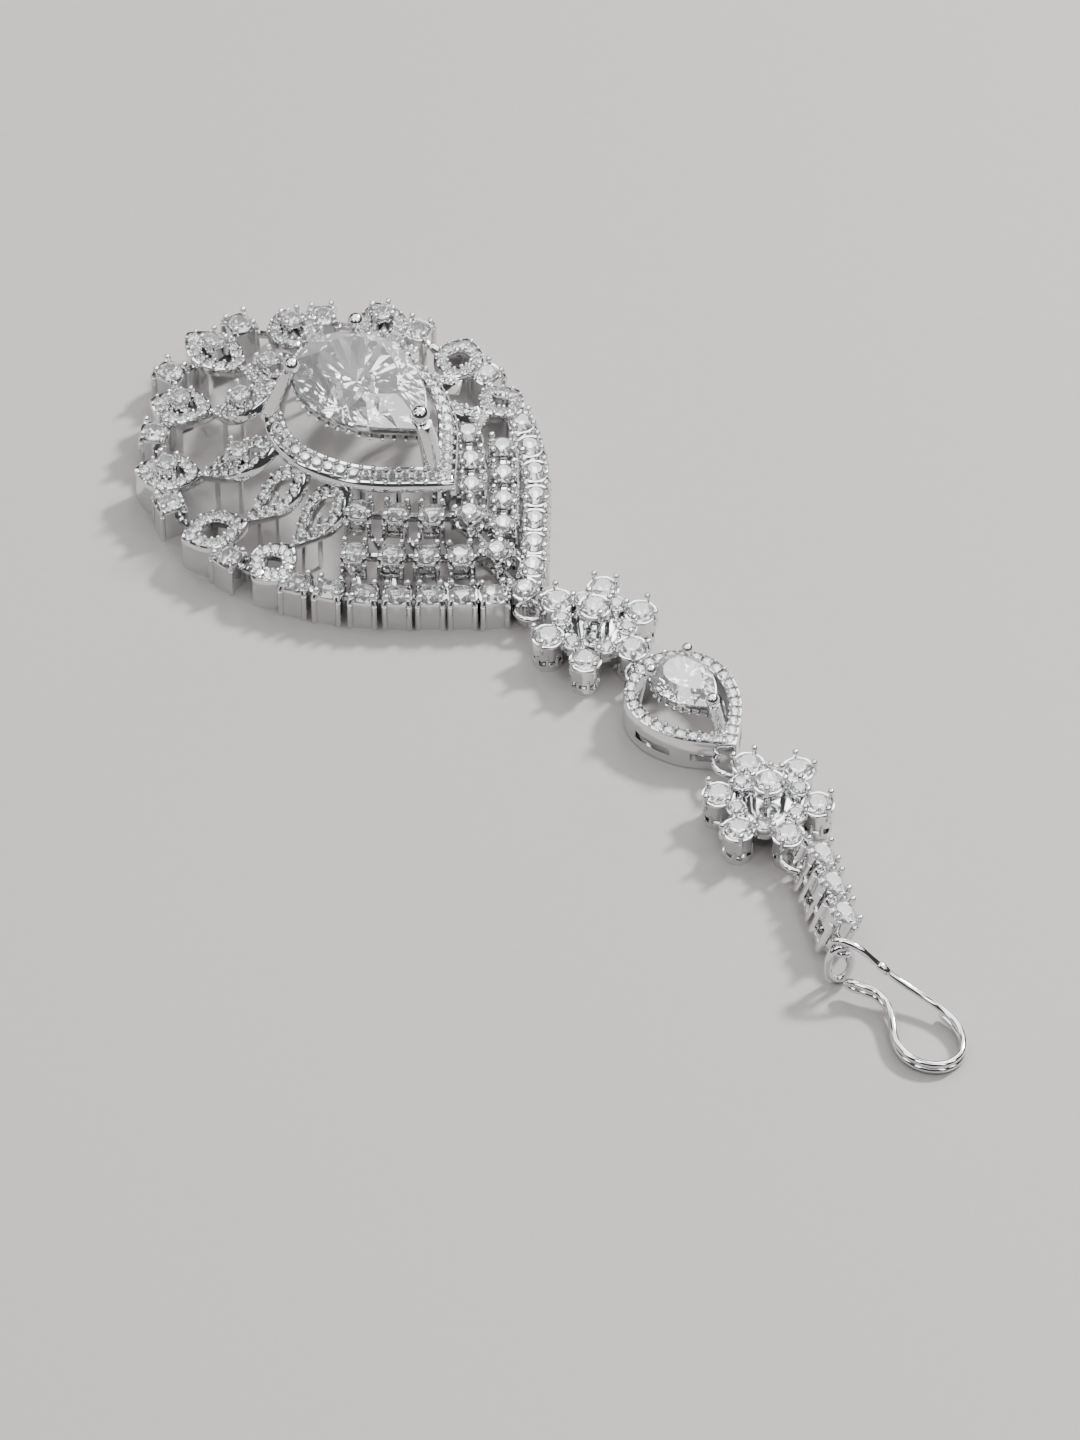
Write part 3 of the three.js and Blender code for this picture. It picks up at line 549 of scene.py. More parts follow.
class Shader:
    """A material's node tree, with one method that makes any node."""

    def __init__(self, name):
        self.material = bpy.data.materials.new(name)
        self.material.use_nodes = True
        self.tree = self.material.node_tree
        self.tree.nodes.clear()

    def node(self, kind, settings=None, inputs=None, output=0):
        made = self.tree.nodes.new(kind)
        for key, value in (settings or {}).items():
            setattr(made, key, value)
        for key, value in (inputs or {}).items():
            if isinstance(value, Term):
                self.tree.links.new(value.socket, made.inputs[key])
            else:
                made.inputs[key].default_value = value
        return Term(self, made.outputs[output])

    def finish(self, surface):
        out = self.tree.nodes.new("ShaderNodeOutputMaterial")
        self.tree.links.new(surface.socket, out.inputs["Surface"])
        return self.material


print("reflected operators:", [name for name in vars(Term) if name.startswith("__r")])

# %% [markdown]
# ## Metal and stone
# The metal is cast and plated bright: nearly a mirror, with fine polishing grain in its bump and broad,
# faint patches in its tint and roughness. The stones are clear and bend light far more than glass, and
# their facets stay almost perfectly smooth. Both are a Principled shader fed by procedural noise, since
# a picture of metal would carry someone else's reflections.

# %% Metal
def metal_material():
    s = Shader("bright_metal")
    where = s.node("ShaderNodeTexCoord", output="Object")
    fine = s.node("ShaderNodeTexNoise", {}, {"Vector": where, "Scale": 2600.0, "Detail": 3.0})
    broad = s.node("ShaderNodeTexNoise", {}, {"Vector": where, "Scale": 420.0, "Detail": 2.0})
    tint = s.node("ShaderNodeMix", {"data_type": "RGBA"}, {
        "Factor": broad, "A": (0.70, 0.70, 0.71, 1.0), "B": (0.82, 0.82, 0.82, 1.0)}, output="Result")
    bump = s.node("ShaderNodeBump", {}, {"Height": fine, "Strength": 0.05, "Distance": 0.00005})
    return s.finish(s.node("ShaderNodeBsdfPrincipled", {}, {
        "Base Color": tint, "Metallic": 1.0, "Roughness": 0.05 + broad * 0.09, "Normal": bump}))


METAL = metal_material()
print("nodes of the metal:", len(METAL.node_tree.nodes))

# %% Stone
STONE_BENDING = 2.15
STONE_CLEARNESS = 0.9


def stone_material():
    s = Shader("clear_stone")
    where = s.node("ShaderNodeTexCoord", output="Object")
    cloud = s.node("ShaderNodeTexNoise", {}, {"Vector": where, "Scale": 900.0, "Detail": 2.0})
    tint = s.node("ShaderNodeMix", {"data_type": "RGBA"}, {
        "Factor": cloud, "A": (0.96, 0.97, 0.985, 1.0), "B": (1.0, 1.0, 1.0, 1.0)}, output="Result")
    bump = s.node("ShaderNodeBump", {}, {"Height": cloud, "Strength": 0.02, "Distance": 0.00002})
    return s.finish(s.node("ShaderNodeBsdfPrincipled", {}, {
        "Base Color": tint, "Roughness": 0.01 + cloud * 0.02, "IOR": STONE_BENDING,
        "Transmission Weight": STONE_CLEARNESS, "Normal": bump}))


STONE = stone_material()
print("nodes of the stone:", len(STONE.node_tree.nodes))

# %% Finishes on the solids from CAD
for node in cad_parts.values():
    node.data.materials.clear()
    node.data.materials.append(STONE if "stone" in node.name else METAL)
print("solids given a finish:", len(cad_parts))

# %% [markdown]
# ## Fields of tiny stones
# Leaves, halo and pear link carry a single file of tiny stones let into a band, with a pair of beads
# raised from the metal between one stone and the next. A real band is drilled, the stones are dropped
# in and the beads are pushed over them. Here a stone and two beads are stamped at even steps.

# %% Profile of a drilled band
UNDERSIDE = -1.0
GROOVED = [
    (0.0, UNDERSIDE), (0.0, -0.26), (0.07, -0.11), (0.19, -0.08), (0.22, -0.45),
    (0.78, -0.45), (0.81, -0.08), (0.93, -0.11), (1.0, -0.26), (1.0, UNDERSIDE),
]


def grooved(thick):
    return [(s, z if z > UNDERSIDE else -thick) for s, z in GROOVED]


print("points of the profile:", len(GROOVED))

# %% Tiny stones along a band
TINY_RISE = 0.07
BEAD_ASIDE = 0.34


def tiny_stones(metal, stones, outer, inner, count, stone=pave_stone, bead=pave_bead):
    middle = (np.asarray(outer) + np.asarray(inner)) / 2
    every = 2 * count
    mid = walk(middle, every, closed=True)
    for k in range(every):
        ahead = mid[(k + 1) % every] - mid[k - 1]
        nearest = np.argmin(np.linalg.norm(middle - mid[k], axis=1))
        across = np.asarray(inner)[nearest] - np.asarray(outer)[nearest]
        up = np.cross(ahead, across)
        up = up / np.linalg.norm(up) * (1 if up[2] > 0 else -1)
        if k % 2 == 0:
            stones.add(stone, frame_at(mid[k] + up * TINY_RISE, ahead, up))
        else:
            for share in (-BEAD_ASIDE, BEAD_ASIDE):
                metal.add(bead, frame_at(mid[k] + across * share, ahead, up))


print("beads of a pair stand apart by", 2 * BEAD_ASIDE, "of the band's width")

# %% [markdown]
# ## The pendant's rows
# Three chevron rows climb like steps from the rim. Their cups are joined by small square blocks, and
# short struts carry each row on the one outside it. The innermost row also holds up the halo, on posts
# that stand right under it.

# %% Places along a row
def headings(row):
    turns = [90.0]
    for i in range(1, len(row)):
        after, before = row[min(i + 1, len(row) - 1)], row[i - 1]
        turns.append(math.degrees(math.atan2(after[1] - before[1], after[0] - before[0])))
    return turns


def sides_of(y):
    """A piece on the pendant's axis is made once, any other one on both sides."""
    return (1, -1) if y else (1,)


def row_places(row, top):
    for (x, y), turn in zip(row, headings(row)):
        yield place(x, y, top, turn)
        if y:
            yield place(x, -y, top, -turn)


print("turn of each rim cup:", [round(turn) for turn in headings(RIM_ROW)])

# %% Bar
def bar(start, end, wide, high, rounding=0.12):
    """Straight piece with a squared section, for blocks, struts, posts and ties."""
    start, end = np.array(start, float), np.array(end, float)
    way = end - start
    length = np.linalg.norm(way)
    ring = rounded(wide, high, rounding, 0.0, per=2)
    sections = [np.column_stack([np.full(len(ring), x), ring[:, 0], ring[:, 1]]) for x in (0, length)]
    up = (0, 0, 1) if abs(way[2]) < 0.9 * length else (1, 0, 0)
    z = Vector(np.cross(way, np.cross(up, way)))
    return moved(loft(sections), frame_at(start, way, z))


print("faces of a bar:", len(bar((0, 0, 0), (1, 0, 0), 0.5, 0.5)[1]))

# %% Rows
BLOCK = 0.65
BLOCK_DROP = 1.0
pendant, pendant_stones = Body(), Body()
for row, top, cup in (
    (RIM_ROW, RIM_TOP, rim_cup),
    (MIDDLE_ROW, MIDDLE_TOP, inner_cup),
    (INNER_ROW, INNER_TOP, inner_cup),
):
    for at in row_places(row, top):
        pendant.add(cup, at)
        pendant_stones.add(row_stone, at)
    for side in (-1, 1):
        for (ax, ay), (bx, by) in zip(row, row[1:]):
            ends = ((ax, ay * side, top - BLOCK_DROP), (bx, by * side, top - BLOCK_DROP))
            pendant.add(bar(*ends, BLOCK, BLOCK))
print("stones in the three rows:", len(pendant_stones.shapes))

# %% Struts between the rows
STRUT = 0.5
STRUT_FOOT_DROP = 1.4
STRUT_HEAD_RISE = 0.4
for row, outer_row, top, pace in (
    (MIDDLE_ROW, RIM_ROW, MIDDLE_TOP, 1.25),
    (INNER_ROW, MIDDLE_ROW, INNER_TOP, 1),
):
    for i, (x, y) in enumerate(row):
        ox, oy = outer_row[min(round(i * pace), len(outer_row) - 1)]
        for side in sides_of(y):
            head = (x, y * side, top - ROW_CUP_HEIGHT + STRUT_HEAD_RISE)
            foot = (ox, oy * side, top - ROW_RISE - STRUT_FOOT_DROP)
            pendant.add(bar(head, foot, STRUT, STRUT))
print("shapes in the pendant:", len(pendant.shapes))

# %% Posts under the halo
HALO_POST = 0.62
POST_FOOT = INNER_TOP - ROW_CUP_HEIGHT + 0.5
halo_line = pear(-9.6, 18.0, 14.1, 96)
for x, y in INNER_ROW:
    for side in sides_of(y):
        near = halo_line[np.argmin(np.linalg.norm(halo_line - (x, y * side), axis=1))]
        pendant.add(bar((*near, POST_FOOT - 0.3), (*near, HALO_TOP - 0.6), HALO_POST, HALO_POST))
        pendant.add(bar((x, y * side, POST_FOOT), (*near, POST_FOOT), STRUT, STRUT))
print("shapes in the pendant:", len(pendant.shapes))

# %% [markdown]
# ## Leaves
# Round the back half of the pendant stand nine pairs of open leaves: the outer leaf lies on the rim
# over a polished wall, the inner one climbs from it to the halo on two thin legs. The five pairs at the
# back carry a stone raised over each leaf. A leaf is the drilled band again, carried round a pointed
# oval that may slope.

# %% Outline of a leaf
def leaf_edges(start, end, width, peak, count):
    start, end = np.array(start, float), np.array(end, float)
    way = end - start
    length = np.linalg.norm(way)
    u = way / length
    v = np.cross((0, 0, 1), u)
    v /= np.linalg.norm(v)
    inner = (length / 2 - 1.35 * LEAF_BAND) / (length / 2)
    inner_wide = (width / 2 - LEAF_BAND) / (width / 2)
    k = np.arange(count)
    half = np.where(k <= count / 2, k, count - k)
    s = 0.5 - 0.5 * np.cos(half / (count / 2) * math.pi)
    swell = np.sin(math.pi * np.clip(s, 0, 1) ** peak).clip(0) ** 0.8
    wide = width / 2 * swell * np.where(k <= count / 2, 1, -1)
    a = s * length
    outer = start + a[:, None] * u + wide[:, None] * v
    inside = start + (length / 2 + (a - length / 2) * inner)[:, None] * u + (wide * inner_wide)[:, None] * v
    return outer, inside, np.cross(u, v)


print("points round a leaf:", len(leaf_edges((0, 0, 0), (7, 0, 0), OUTER_LEAF_WIDTH, 1.0, 40)[0]))

# %% A leaf and its wall
LEAF_STEPS = 40
WALL_REACH = 0.31


def leaf(metal, stones, start, end, width, peak, tiny):
    outer, inner, up = leaf_edges(start, end, width, peak, LEAF_STEPS)
    profile = grooved(LEAF_THICK)
    sections = [[o + (i - o) * s + up * z for s, z in profile] for o, i in zip(outer, inner)]
    metal.add(loft(sections, looped=True))
    tiny_stones(metal, stones, outer, inner, tiny)
    return outer, inner


def leaf_wall(metal, outer, inner):
    reach = int(len(outer) * WALL_REACH)
    sections = []
    for k in range(-reach, reach + 1):
        o, i = outer[k], inner[k]
        face, back = o + (i - o) * 0.06, o + (i - o) * 0.8
        top = o[2] - LEAF_THICK / 2
        sections.append([(*face[:2], top), (*back[:2], top), (*back[:2], 0.0), (*face[:2], 0.0)])
    metal.add(loft(sections))


print("share of a leaf's edge that stands on its wall:", 2 * WALL_REACH)

# %% Leaves round the back
LEAF_STONES = 13
OUTER_PEAK = 0.95
INNER_PEAK = 1.3
LEAF_LAP = 0.3
LEG = 0.42
LEG_SHARES = (0.22, 0.52)
raised_cup = merge([
    tube_cup(RAISED_OVER_LEAF + 0.5, RAISED_CUP * 0.82, RAISED_CUP * 0.82, 0.5, 0.25),
    *square_claws(-RAISED_OVER_LEAF - 0.5, (0.78, 0.78), (0.85, 0.85), 0.72, 0.22, 0.28, 0.12),
])
for tip, joint, end, raised in LEAF_PAIRS:
    for side in sides_of(tip[1]):
        a = np.array((tip[0], tip[1] * side, RIM_TOP - 0.1))
        b = np.array((joint[0], joint[1] * side, RIM_TOP + LEAF_JOINT_RISE))
        c = np.array((end[0], end[1] * side, RIM_TOP + LEAF_END_RISE))
        lap = (c - b) / np.linalg.norm(c - b) * LEAF_LAP
        outer, inner = leaf(pendant, pendant_stones, a, b + lap * (1, 1, 0),
                            OUTER_LEAF_WIDTH, OUTER_PEAK, LEAF_STONES)
        leaf(pendant, pendant_stones, b - lap, c, INNER_LEAF_WIDTH, INNER_PEAK, LEAF_STONES)
        leaf_wall(pendant, outer, inner)
        for share in LEG_SHARES:
            knee = b + (c - b) * share
            pendant.add(bar((*knee[:2], 0.0), (*knee[:2], knee[2] - 0.3), LEG, LEG))
        if raised:
            for low, high in ((a, b), (b, c)):
                x, y, z = (low + high) / 2
                turn = math.degrees(math.atan2(high[1] - low[1], high[0] - low[0]))
                at = place(x, y, z + RAISED_OVER_LEAF, turn)
                pendant.add(raised_cup, at)
                pendant_stones.add(raised_stone, at)
print("stones on the pendant so far:", len(pendant_stones.shapes))

# %% [markdown]
# ## Lone stones
# Between two pairs of leaves a single stone stands on the rim, in the same cup as the rim's row. A tie
# runs from it to the wall of each leaf beside it, so that the rim holds together all the way round.

# %% Lone stones
TIE = 0.6
TIE_HEIGHT = 2.2
FAN_CENTRE = -22
for i, (x, y) in enumerate(LONE_STONES):
    for side in (-1, 1):
        turn = math.degrees(math.atan2(y * side, x - FAN_CENTRE))
        pendant.add(rim_cup, place(x, y * side, RIM_TOP, turn))
        pendant_stones.add(row_stone, place(x, y * side, RIM_TOP, turn))
        for pair in (LEAF_PAIRS[4 - i], LEAF_PAIRS[3 - i]):
            tip, joint = np.array(pair[0]), np.array(pair[1])
            wall = tip + (joint - tip) * 0.42 - (x, y)
            toward = wall / np.linalg.norm(wall)
            ends = (toward * 0.9, wall - toward * 1.2)
            pendant.add(bar(*[(x + p[0], (y + p[1]) * side, TIE_HEIGHT) for p in ends], TIE, TIE))
for side in (-1, 1):
    row_end, leaf_side = (-14.7, 13.35 * side, TIE_HEIGHT), (-15.6, 14.1 * side, TIE_HEIGHT)
    pendant.add(bar(row_end, leaf_side, TIE, TIE))
print("stones on the pendant so far:", len(pendant_stones.shapes))

# %% [markdown]
# ## Halo, basket and main stone
# The halo is one more drilled band, wider than a leaf's and slanted outwards. The main stone sits high
# over it in a basket: a rail that follows its lower half, set with stones on its outer face, and three
# heavy prongs that rise from the halo and end in balls. The prong at the tip is straight and thick, the
# two at the heel splay at the foot.

# %% Halo
HALO_BAND = 1.7
HALO_SLANT = 0.35
HALO_STONE = 1.15
HALO_STONES = 44
HALO_BEAD_GROWTH = 1.25
halo_outer = with_z(offset(halo_line, HALO_BAND / 2), HALO_TOP - HALO_SLANT)
halo_inner = with_z(offset(halo_line, -HALO_BAND / 2), HALO_TOP + HALO_SLANT)
pendant.add(band(halo_outer, halo_inner, grooved(0.9)))
tiny_stones(pendant, pendant_stones, halo_outer, halo_inner, HALO_STONES,
            stone=round_brilliant(HALO_STONE, mains=6),
            bead=moved(pave_bead, Matrix.Diagonal((*[HALO_BEAD_GROWTH] * 3, 1))))
print("stones on the pendant so far:", len(pendant_stones.shapes))

# %% Basket
MAIN_PEAR = (-12.0, 14.2, 10.0)
MAIN_MIDDLE = (-20.4, 0.0)
RAIL_DROP = 0.5
main_line = pear(*MAIN_PEAR, 64)


def basket(metal, stones, line, girdle, high, wall, tiny, size):
    top_line, low_line = offset(line, 0.12), offset(line, -0.4)
    rings = [
        with_z(top_line, girdle - RAIL_DROP),
        with_z(offset(line, -0.3), girdle - RAIL_DROP),
        with_z(offset(line, -0.3 - wall), girdle - RAIL_DROP - high),
        with_z(low_line, girdle - RAIL_DROP - high),
    ]
    metal.add(loft([[r[i] for r in rings] for i in range(len(line))], looped=True))
    face = (rings[0] + rings[3]) / 2
    outward_way = offset(line, 1.0) - line
    every = 2 * tiny
    spots = walk(face, every, closed=True)
    stone = round_brilliant(size, mains=6)
    for k in range(every):
        near = np.argmin(np.linalg.norm(face - spots[k], axis=1))
        up = np.array([*outward_way[near], -0.35])
        ahead = spots[(k + 1) % every] - spots[k - 1]
        if k % 2 == 0:
            stones.add(stone, frame_at(spots[k] + up * 0.02, ahead, up))
        else:
            for rise in (-BEAD_ASIDE * high, BEAD_ASIDE * high):
                metal.add(pave_bead, frame_at(spots[k] + (0, 0, rise), ahead, up))


basket(pendant, pendant_stones, main_line, STONE_GIRDLE, 1.3, 0.5, 36, 0.85)
print("stones on the pendant:", len(pendant_stones.shapes))

# %% Heavy prongs
MAIN_BALL = 1.35
SPLAYED = (0.85, 0.68, 0.52, 0.43)
STRAIGHT = (0.5, 0.52, 0.52, 0.48)


def heavy_prong(foot, waist, head, thick, ball, shares=SPLAYED, sides=16):
    foot, waist, head = (np.array(p, float) for p in (foot, waist, head))
    spots = [foot, foot + (waist - foot) * 0.45, waist, waist + (head - waist) * 0.6]
    rings = [circle(spot, thick * share, sides) for spot, share in zip(spots, shares)]
    for angle in (-45, -20, 5, 30, 55, 76, 87):
        a = math.radians(angle)
        rings.append(circle(head + [0, 0, ball / 2 * math.sin(a)], ball / 2 * math.cos(a), sides))
    return loft(rings)


ball_z = BALL_TOP - MAIN_BALL / 2
for side, foot, waist, head, form in (
    (1, (-11.0, 0), (-11.75, 0), (-12.6, 0), (1.6, MAIN_BALL * 1.26, STRAIGHT)),
    (1, (-25.5, 5.2), (-24.75, 4.15), (-24.4, 3.75), (1.2, MAIN_BALL * 1.1)),
    (-1, (-25.5, 5.2), (-24.75, 4.15), (-24.4, 3.75), (1.2, MAIN_BALL * 1.1)),
):
    heights = (HALO_TOP - 0.8, STONE_GIRDLE - 0.6, ball_z)
    points = [(x, y * side, z) for (x, y), z in zip((foot, waist, head), heights)]
    pendant.add(heavy_prong(*points, *form))
print("shapes in the pendant:", len(pendant.shapes))

# %% Main stone
PEAR_CUT = {"table": 0.6, "crown": 0.17, "girdle": 0.03, "pavilion": 0.42}
MAIN_TABLE_RISE = 1.7
main_stone = Body()
main_cut = brilliant(pear(*MAIN_PEAR, 32), middle=MAIN_MIDDLE, width=MAIN_PEAR[2], **PEAR_CUT)
main_stone.add(main_cut, Matrix.Translation((0, 0, STONE_GIRDLE + MAIN_TABLE_RISE)))
print("facets of the main stone:", len(main_cut[1]))

# %% [markdown]
# ## Flower links
# Each flower is six cups round a raised one on a plate with six corners. A petal is a round cup, open
# low down between short posts. Between the petals six smaller stones sit on the plate's corners, and
# the middle stone stands over them on four long claws.

# %% Places and sizes of the flowers
FLOWER_1 = (7.0, 1.35, 5.0)
PEAR_LINK_LENGTH = 10.9
PEAR_LINK_HEEL = (13.47, 1.38, -6.5)
PEAR_LINK = ahead(PEAR_LINK_HEEL, PEAR_LINK_LENGTH, 0, PEAR_LINK_HEEL[2])
FLOWER_2 = ahead(PEAR_LINK, 6.92, -1.53, -22.0)
FLOWERS = [FLOWER_1, FLOWER_2]
FLOWER_RADIUS = 4.15
FLOWER_PLATE = FLOWER_RADIUS - 0.7
FLOWER_RISE = 2.2
PETAL_STONE = 2.5
PETAL_CUP = 2.85
ACCENT_STONE = 1.6
ACCENT_REACH = 2.85
petal_stone = round_brilliant(PETAL_STONE)
accent_stone = round_brilliant(ACCENT_STONE)


print("flowers stand at:", [tuple(round(v, 2) for v in spot) for spot in FLOWERS])

# %% Cups of a flower
def petal_claws(low):
    return square_claws(low, (0.97, 0.97), (1.0, 1.0), 0.96, 0.22, CLAW_BALL, 0.2)


def short_posts(low, high, reach, count=8):
    turns = [2 * math.pi * (k + 0.5) / count for k in range(count)]
    return [post((reach * math.cos(t), reach * math.sin(t), low),
                 (reach * math.cos(t), reach * math.sin(t), high), 0.2, 0.2, sides=6) for t in turns]


petal_cup = merge([
    tube_cup(RIM_TOP - 1.3, PETAL_CUP, PETAL_CUP, 1.2, CUP_WALL, flare=0.9),
    moved(tube_cup(0.8, PETAL_CUP * 0.88, PETAL_CUP * 0.88, 1.05, CUP_WALL, top=0.0, flare=1.0),
          Matrix.Translation((0, 0, 0.8 - RIM_TOP))),
    *short_posts(-RIM_TOP + 0.5, -RIM_TOP + 1.7, 1.12),
    *petal_claws(-1.3),
])
centre_cup = merge([
    tube_cup(1.45, PETAL_CUP, PETAL_CUP, 1.15, CUP_WALL),
    *square_claws(0.9 - RIM_TOP - FLOWER_RISE + 1.3, (0.8, 0.8), (1.0, 1.0), 0.96, 0.26, CLAW_BALL, 0.2),
])
accent_cup = merge([
    tube_cup(1.0, ACCENT_STONE * 1.04, ACCENT_STONE * 1.04, 0.6, 0.2, top=-0.24),
    *square_claws(-1.0, (0.55, 0.55), (0.6, 0.6), 0.58, 0.15, 0.2, 0.08),
])


print("faces of a petal's cup:", len(petal_cup[1]))

# %% A flower
PETALS = 6
PETAL_TURN = 60


def six_cornered(reach, z):
    t = [math.radians(30 + PETAL_TURN * k + d) for k in range(PETALS) for d in (-5, 5)]
    return np.array([(reach * math.cos(a), reach * math.sin(a), z) for a in t])


flower_plate = loft([six_cornered(FLOWER_PLATE * share, z) for share, z in (
    (0.94, 1.9), (1.0, 2.02), (1.0, 2.5), (0.72, 2.78), (0.4, 2.9))])


def flower(number, x, y, turn):
    metal, stones = Body(), Body()
    metal.add(flower_plate, place(x, y, 0, turn))
    for k in range(PETALS):
        way = turn + PETAL_TURN * k
        for heading, reach, cup, stone in (
            (way, FLOWER_RADIUS, petal_cup, petal_stone),
            (way + PETAL_TURN // 2, ACCENT_REACH, accent_cup, accent_stone),
        ):
            at = place_on((x, y, heading), reach, 0, RIM_TOP)
            metal.add(cup, at)
            stones.add(stone, at)
    centre = place(x, y, RIM_TOP + FLOWER_RISE, turn + 15)
    metal.add(centre_cup, centre)
    stones.add(petal_stone, centre)
    nodes = [f"flower_{number}_centre_stone"]
    nodes += [f"flower_{number}_petal_stone_{k}" for k in range(1, PETALS + 1)]
    return metal, stones, nodes


print("corners of a flower's plate:", len(six_cornered(FLOWER_PLATE, 0.0)) // 2)

# %% [markdown]
# ## Pear link
# A plain polished wall with two long windows a side carries a file of tiny stones on its edge. Inside
# it, higher up, a small pear stone stands in a basket like the pendant's. The wall is two rings, one
# below the windows and one above, and the gap between them is filled wherever no window is open.

# %% Wall of the pear link
pear_at = place(PEAR_LINK[0], PEAR_LINK[1], 0.0, PEAR_LINK[2])
link_line = pear(0.0, PEAR_LINK_LENGTH, 8.2, 72)
LINK_BAND = 1.25
LINK_TOP = RIM_TOP - 0.05
SLOT_LOW, SLOT_HIGH = 1.05, 1.85
WINDOWS = [(0.04, 0.11), (0.18, 0.275)]


def pear_link_wall():
    outer, inner = offset(link_line, LINK_BAND / 2), offset(link_line, -LINK_BAND / 2)
    count = len(link_line)
    share = lambda k: min(k, count - k) / count
    open_at = lambda k: any(a < share(k) < b for a, b in WINDOWS)
    low = [(0.0, SLOT_LOW), (0.0, 0.12), (0.1, 0.0), (0.9, 0.0), (1.0, 0.12), (1.0, SLOT_LOW)]
    edge = [(s, LINK_TOP + z) for s, z in reversed(GROOVED) if z > UNDERSIDE]
    high = [(1.0, SLOT_HIGH), *edge, (0.0, SLOT_HIGH)]
    shapes = [band(with_z(outer, 0.0), with_z(inner, 0.0), profile) for profile in (low, high)]
    run = []
    round_once = [(k + count // 2) % count for k in range(count + 1)]
    for k in [*round_once, None]:
        if k is not None and not open_at(k):
            run.append(k)
        elif run:
            filled = [[(*outer[j], SLOT_LOW), (*inner[j], SLOT_LOW),
                       (*inner[j], SLOT_HIGH), (*outer[j], SLOT_HIGH)] for j in run]
            if len(filled) > 1:
                shapes.append(loft(filled))
            run = []
    return merge(shapes)


pear_metal, pear_stones = Body(), Body()
pear_metal.add(pear_link_wall())
print("faces of the wall:", len(pear_metal.shapes[0][1]))

# %% Stones of the pear link
LINK_STONES = 28
PEAR_GIRDLE = RIM_TOP + 1.7
SMALL_PEAR = (-2.35, 7.0, 5.0)
SMALL_MIDDLE = (-6.5, 0.0)
SMALL_TABLE_RISE = 0.9
tiny_stones(pear_metal, pear_stones, with_z(offset(link_line, LINK_BAND / 2), LINK_TOP),
            with_z(offset(link_line, -LINK_BAND / 2), LINK_TOP), LINK_STONES)
basket(pear_metal, pear_stones, pear(*SMALL_PEAR, 48), PEAR_GIRDLE + 0.2, 1.1, 0.4, 24, 0.7)
for foot, waist, head, form in (
    ((-0.9, 0), (-1.95, 0), (-2.45, 0), (1.1, 1.25, STRAIGHT)),
    ((-8.9, 3.2), (-8.6, 2.4), (-8.2, 1.95), (0.75, 1.05)),
    ((-8.9, -3.2), (-8.6, -2.4), (-8.2, -1.95), (0.75, 1.05)),
):
    heights = (RIM_TOP - 1.4, PEAR_GIRDLE - 0.4, PEAR_GIRDLE + SMALL_TABLE_RISE)
    points = [(*p, z) for p, z in zip((foot, waist, head), heights)]
    pear_metal.add(heavy_prong(*points, *form))
small_cut = brilliant(pear(*SMALL_PEAR, 24), middle=SMALL_MIDDLE, width=SMALL_PEAR[2], **PEAR_CUT)
pear_stones.add(small_cut, Matrix.Translation((0, 0, PEAR_GIRDLE + SMALL_TABLE_RISE)))
print("stones of the pear link:", len(pear_stones.shapes))

# %% [markdown]
# ## Straight links and rings
# Three single stones lie rolled to one side, as a short chain does on a table. Each stands in a tall
# open cup, and the last one holds an upright loop for the hook. Round wire rings join the pieces.

# %% Sizes of the straight links
TENNIS_START = ahead(FLOWER_2, 7.55, 1.6, -30.2)
TENNIS_COUNT = 3
TENNIS_PITCH = 3.3
TENNIS_ROLL = 22.0
TENNIS_HEIGHT = 3.9
TENNIS_LENGTH = 2.85
TENNIS_WIDTH = 2.7
TENNIS_LEAN = TENNIS_WIDTH / 2 + 0.26
TENNIS_STONE = 2.5
roll = math.radians(TENNIS_ROLL)
TENNIS_BASE = TENNIS_HEIGHT * math.cos(roll) + TENNIS_LEAN * math.sin(roll)
LOOP_HIGH, LOOP_WIDE, LOOP_WIRE = 2.0, 1.0, 0.68
LOOP_AHEAD, LOOP_ASIDE, LOOP_RISE = 2.6, 1.5, 2.4
LOOP_TIE = 0.31
RING_WIRE = 0.55
print("middle of a rolled stone stands at:", round(TENNIS_BASE, 2), "mm")

# %% Places and rings
def tennis_place(k):
    t = math.radians(TENNIS_START[2])
    x, y = TENNIS_START[0] + k * TENNIS_PITCH * math.cos(t), TENNIS_START[1] + k * TENNIS_PITCH * math.sin(t)
    return place(x, y, TENNIS_BASE, TENNIS_START[2], TENNIS_ROLL)


def oval(at, wide, high, radius, steps=28):
    t = np.arange(steps) / steps * 2 * math.pi
    path = np.stack([np.zeros(steps), wide * np.cos(t), high * np.sin(t)], 1)
    return moved(wire(path, radius, closed=True), at)


def flat_ring(at, radius, steps=28):
    t = np.arange(steps) / steps * 2 * math.pi
    path = np.stack([radius * np.cos(t), radius * np.sin(t), np.zeros(steps)], 1)
    return moved(wire(path, RING_WIRE / 2, closed=True), at)


print("points of a ring:", len(flat_ring(Matrix(), 1.2)[0]))

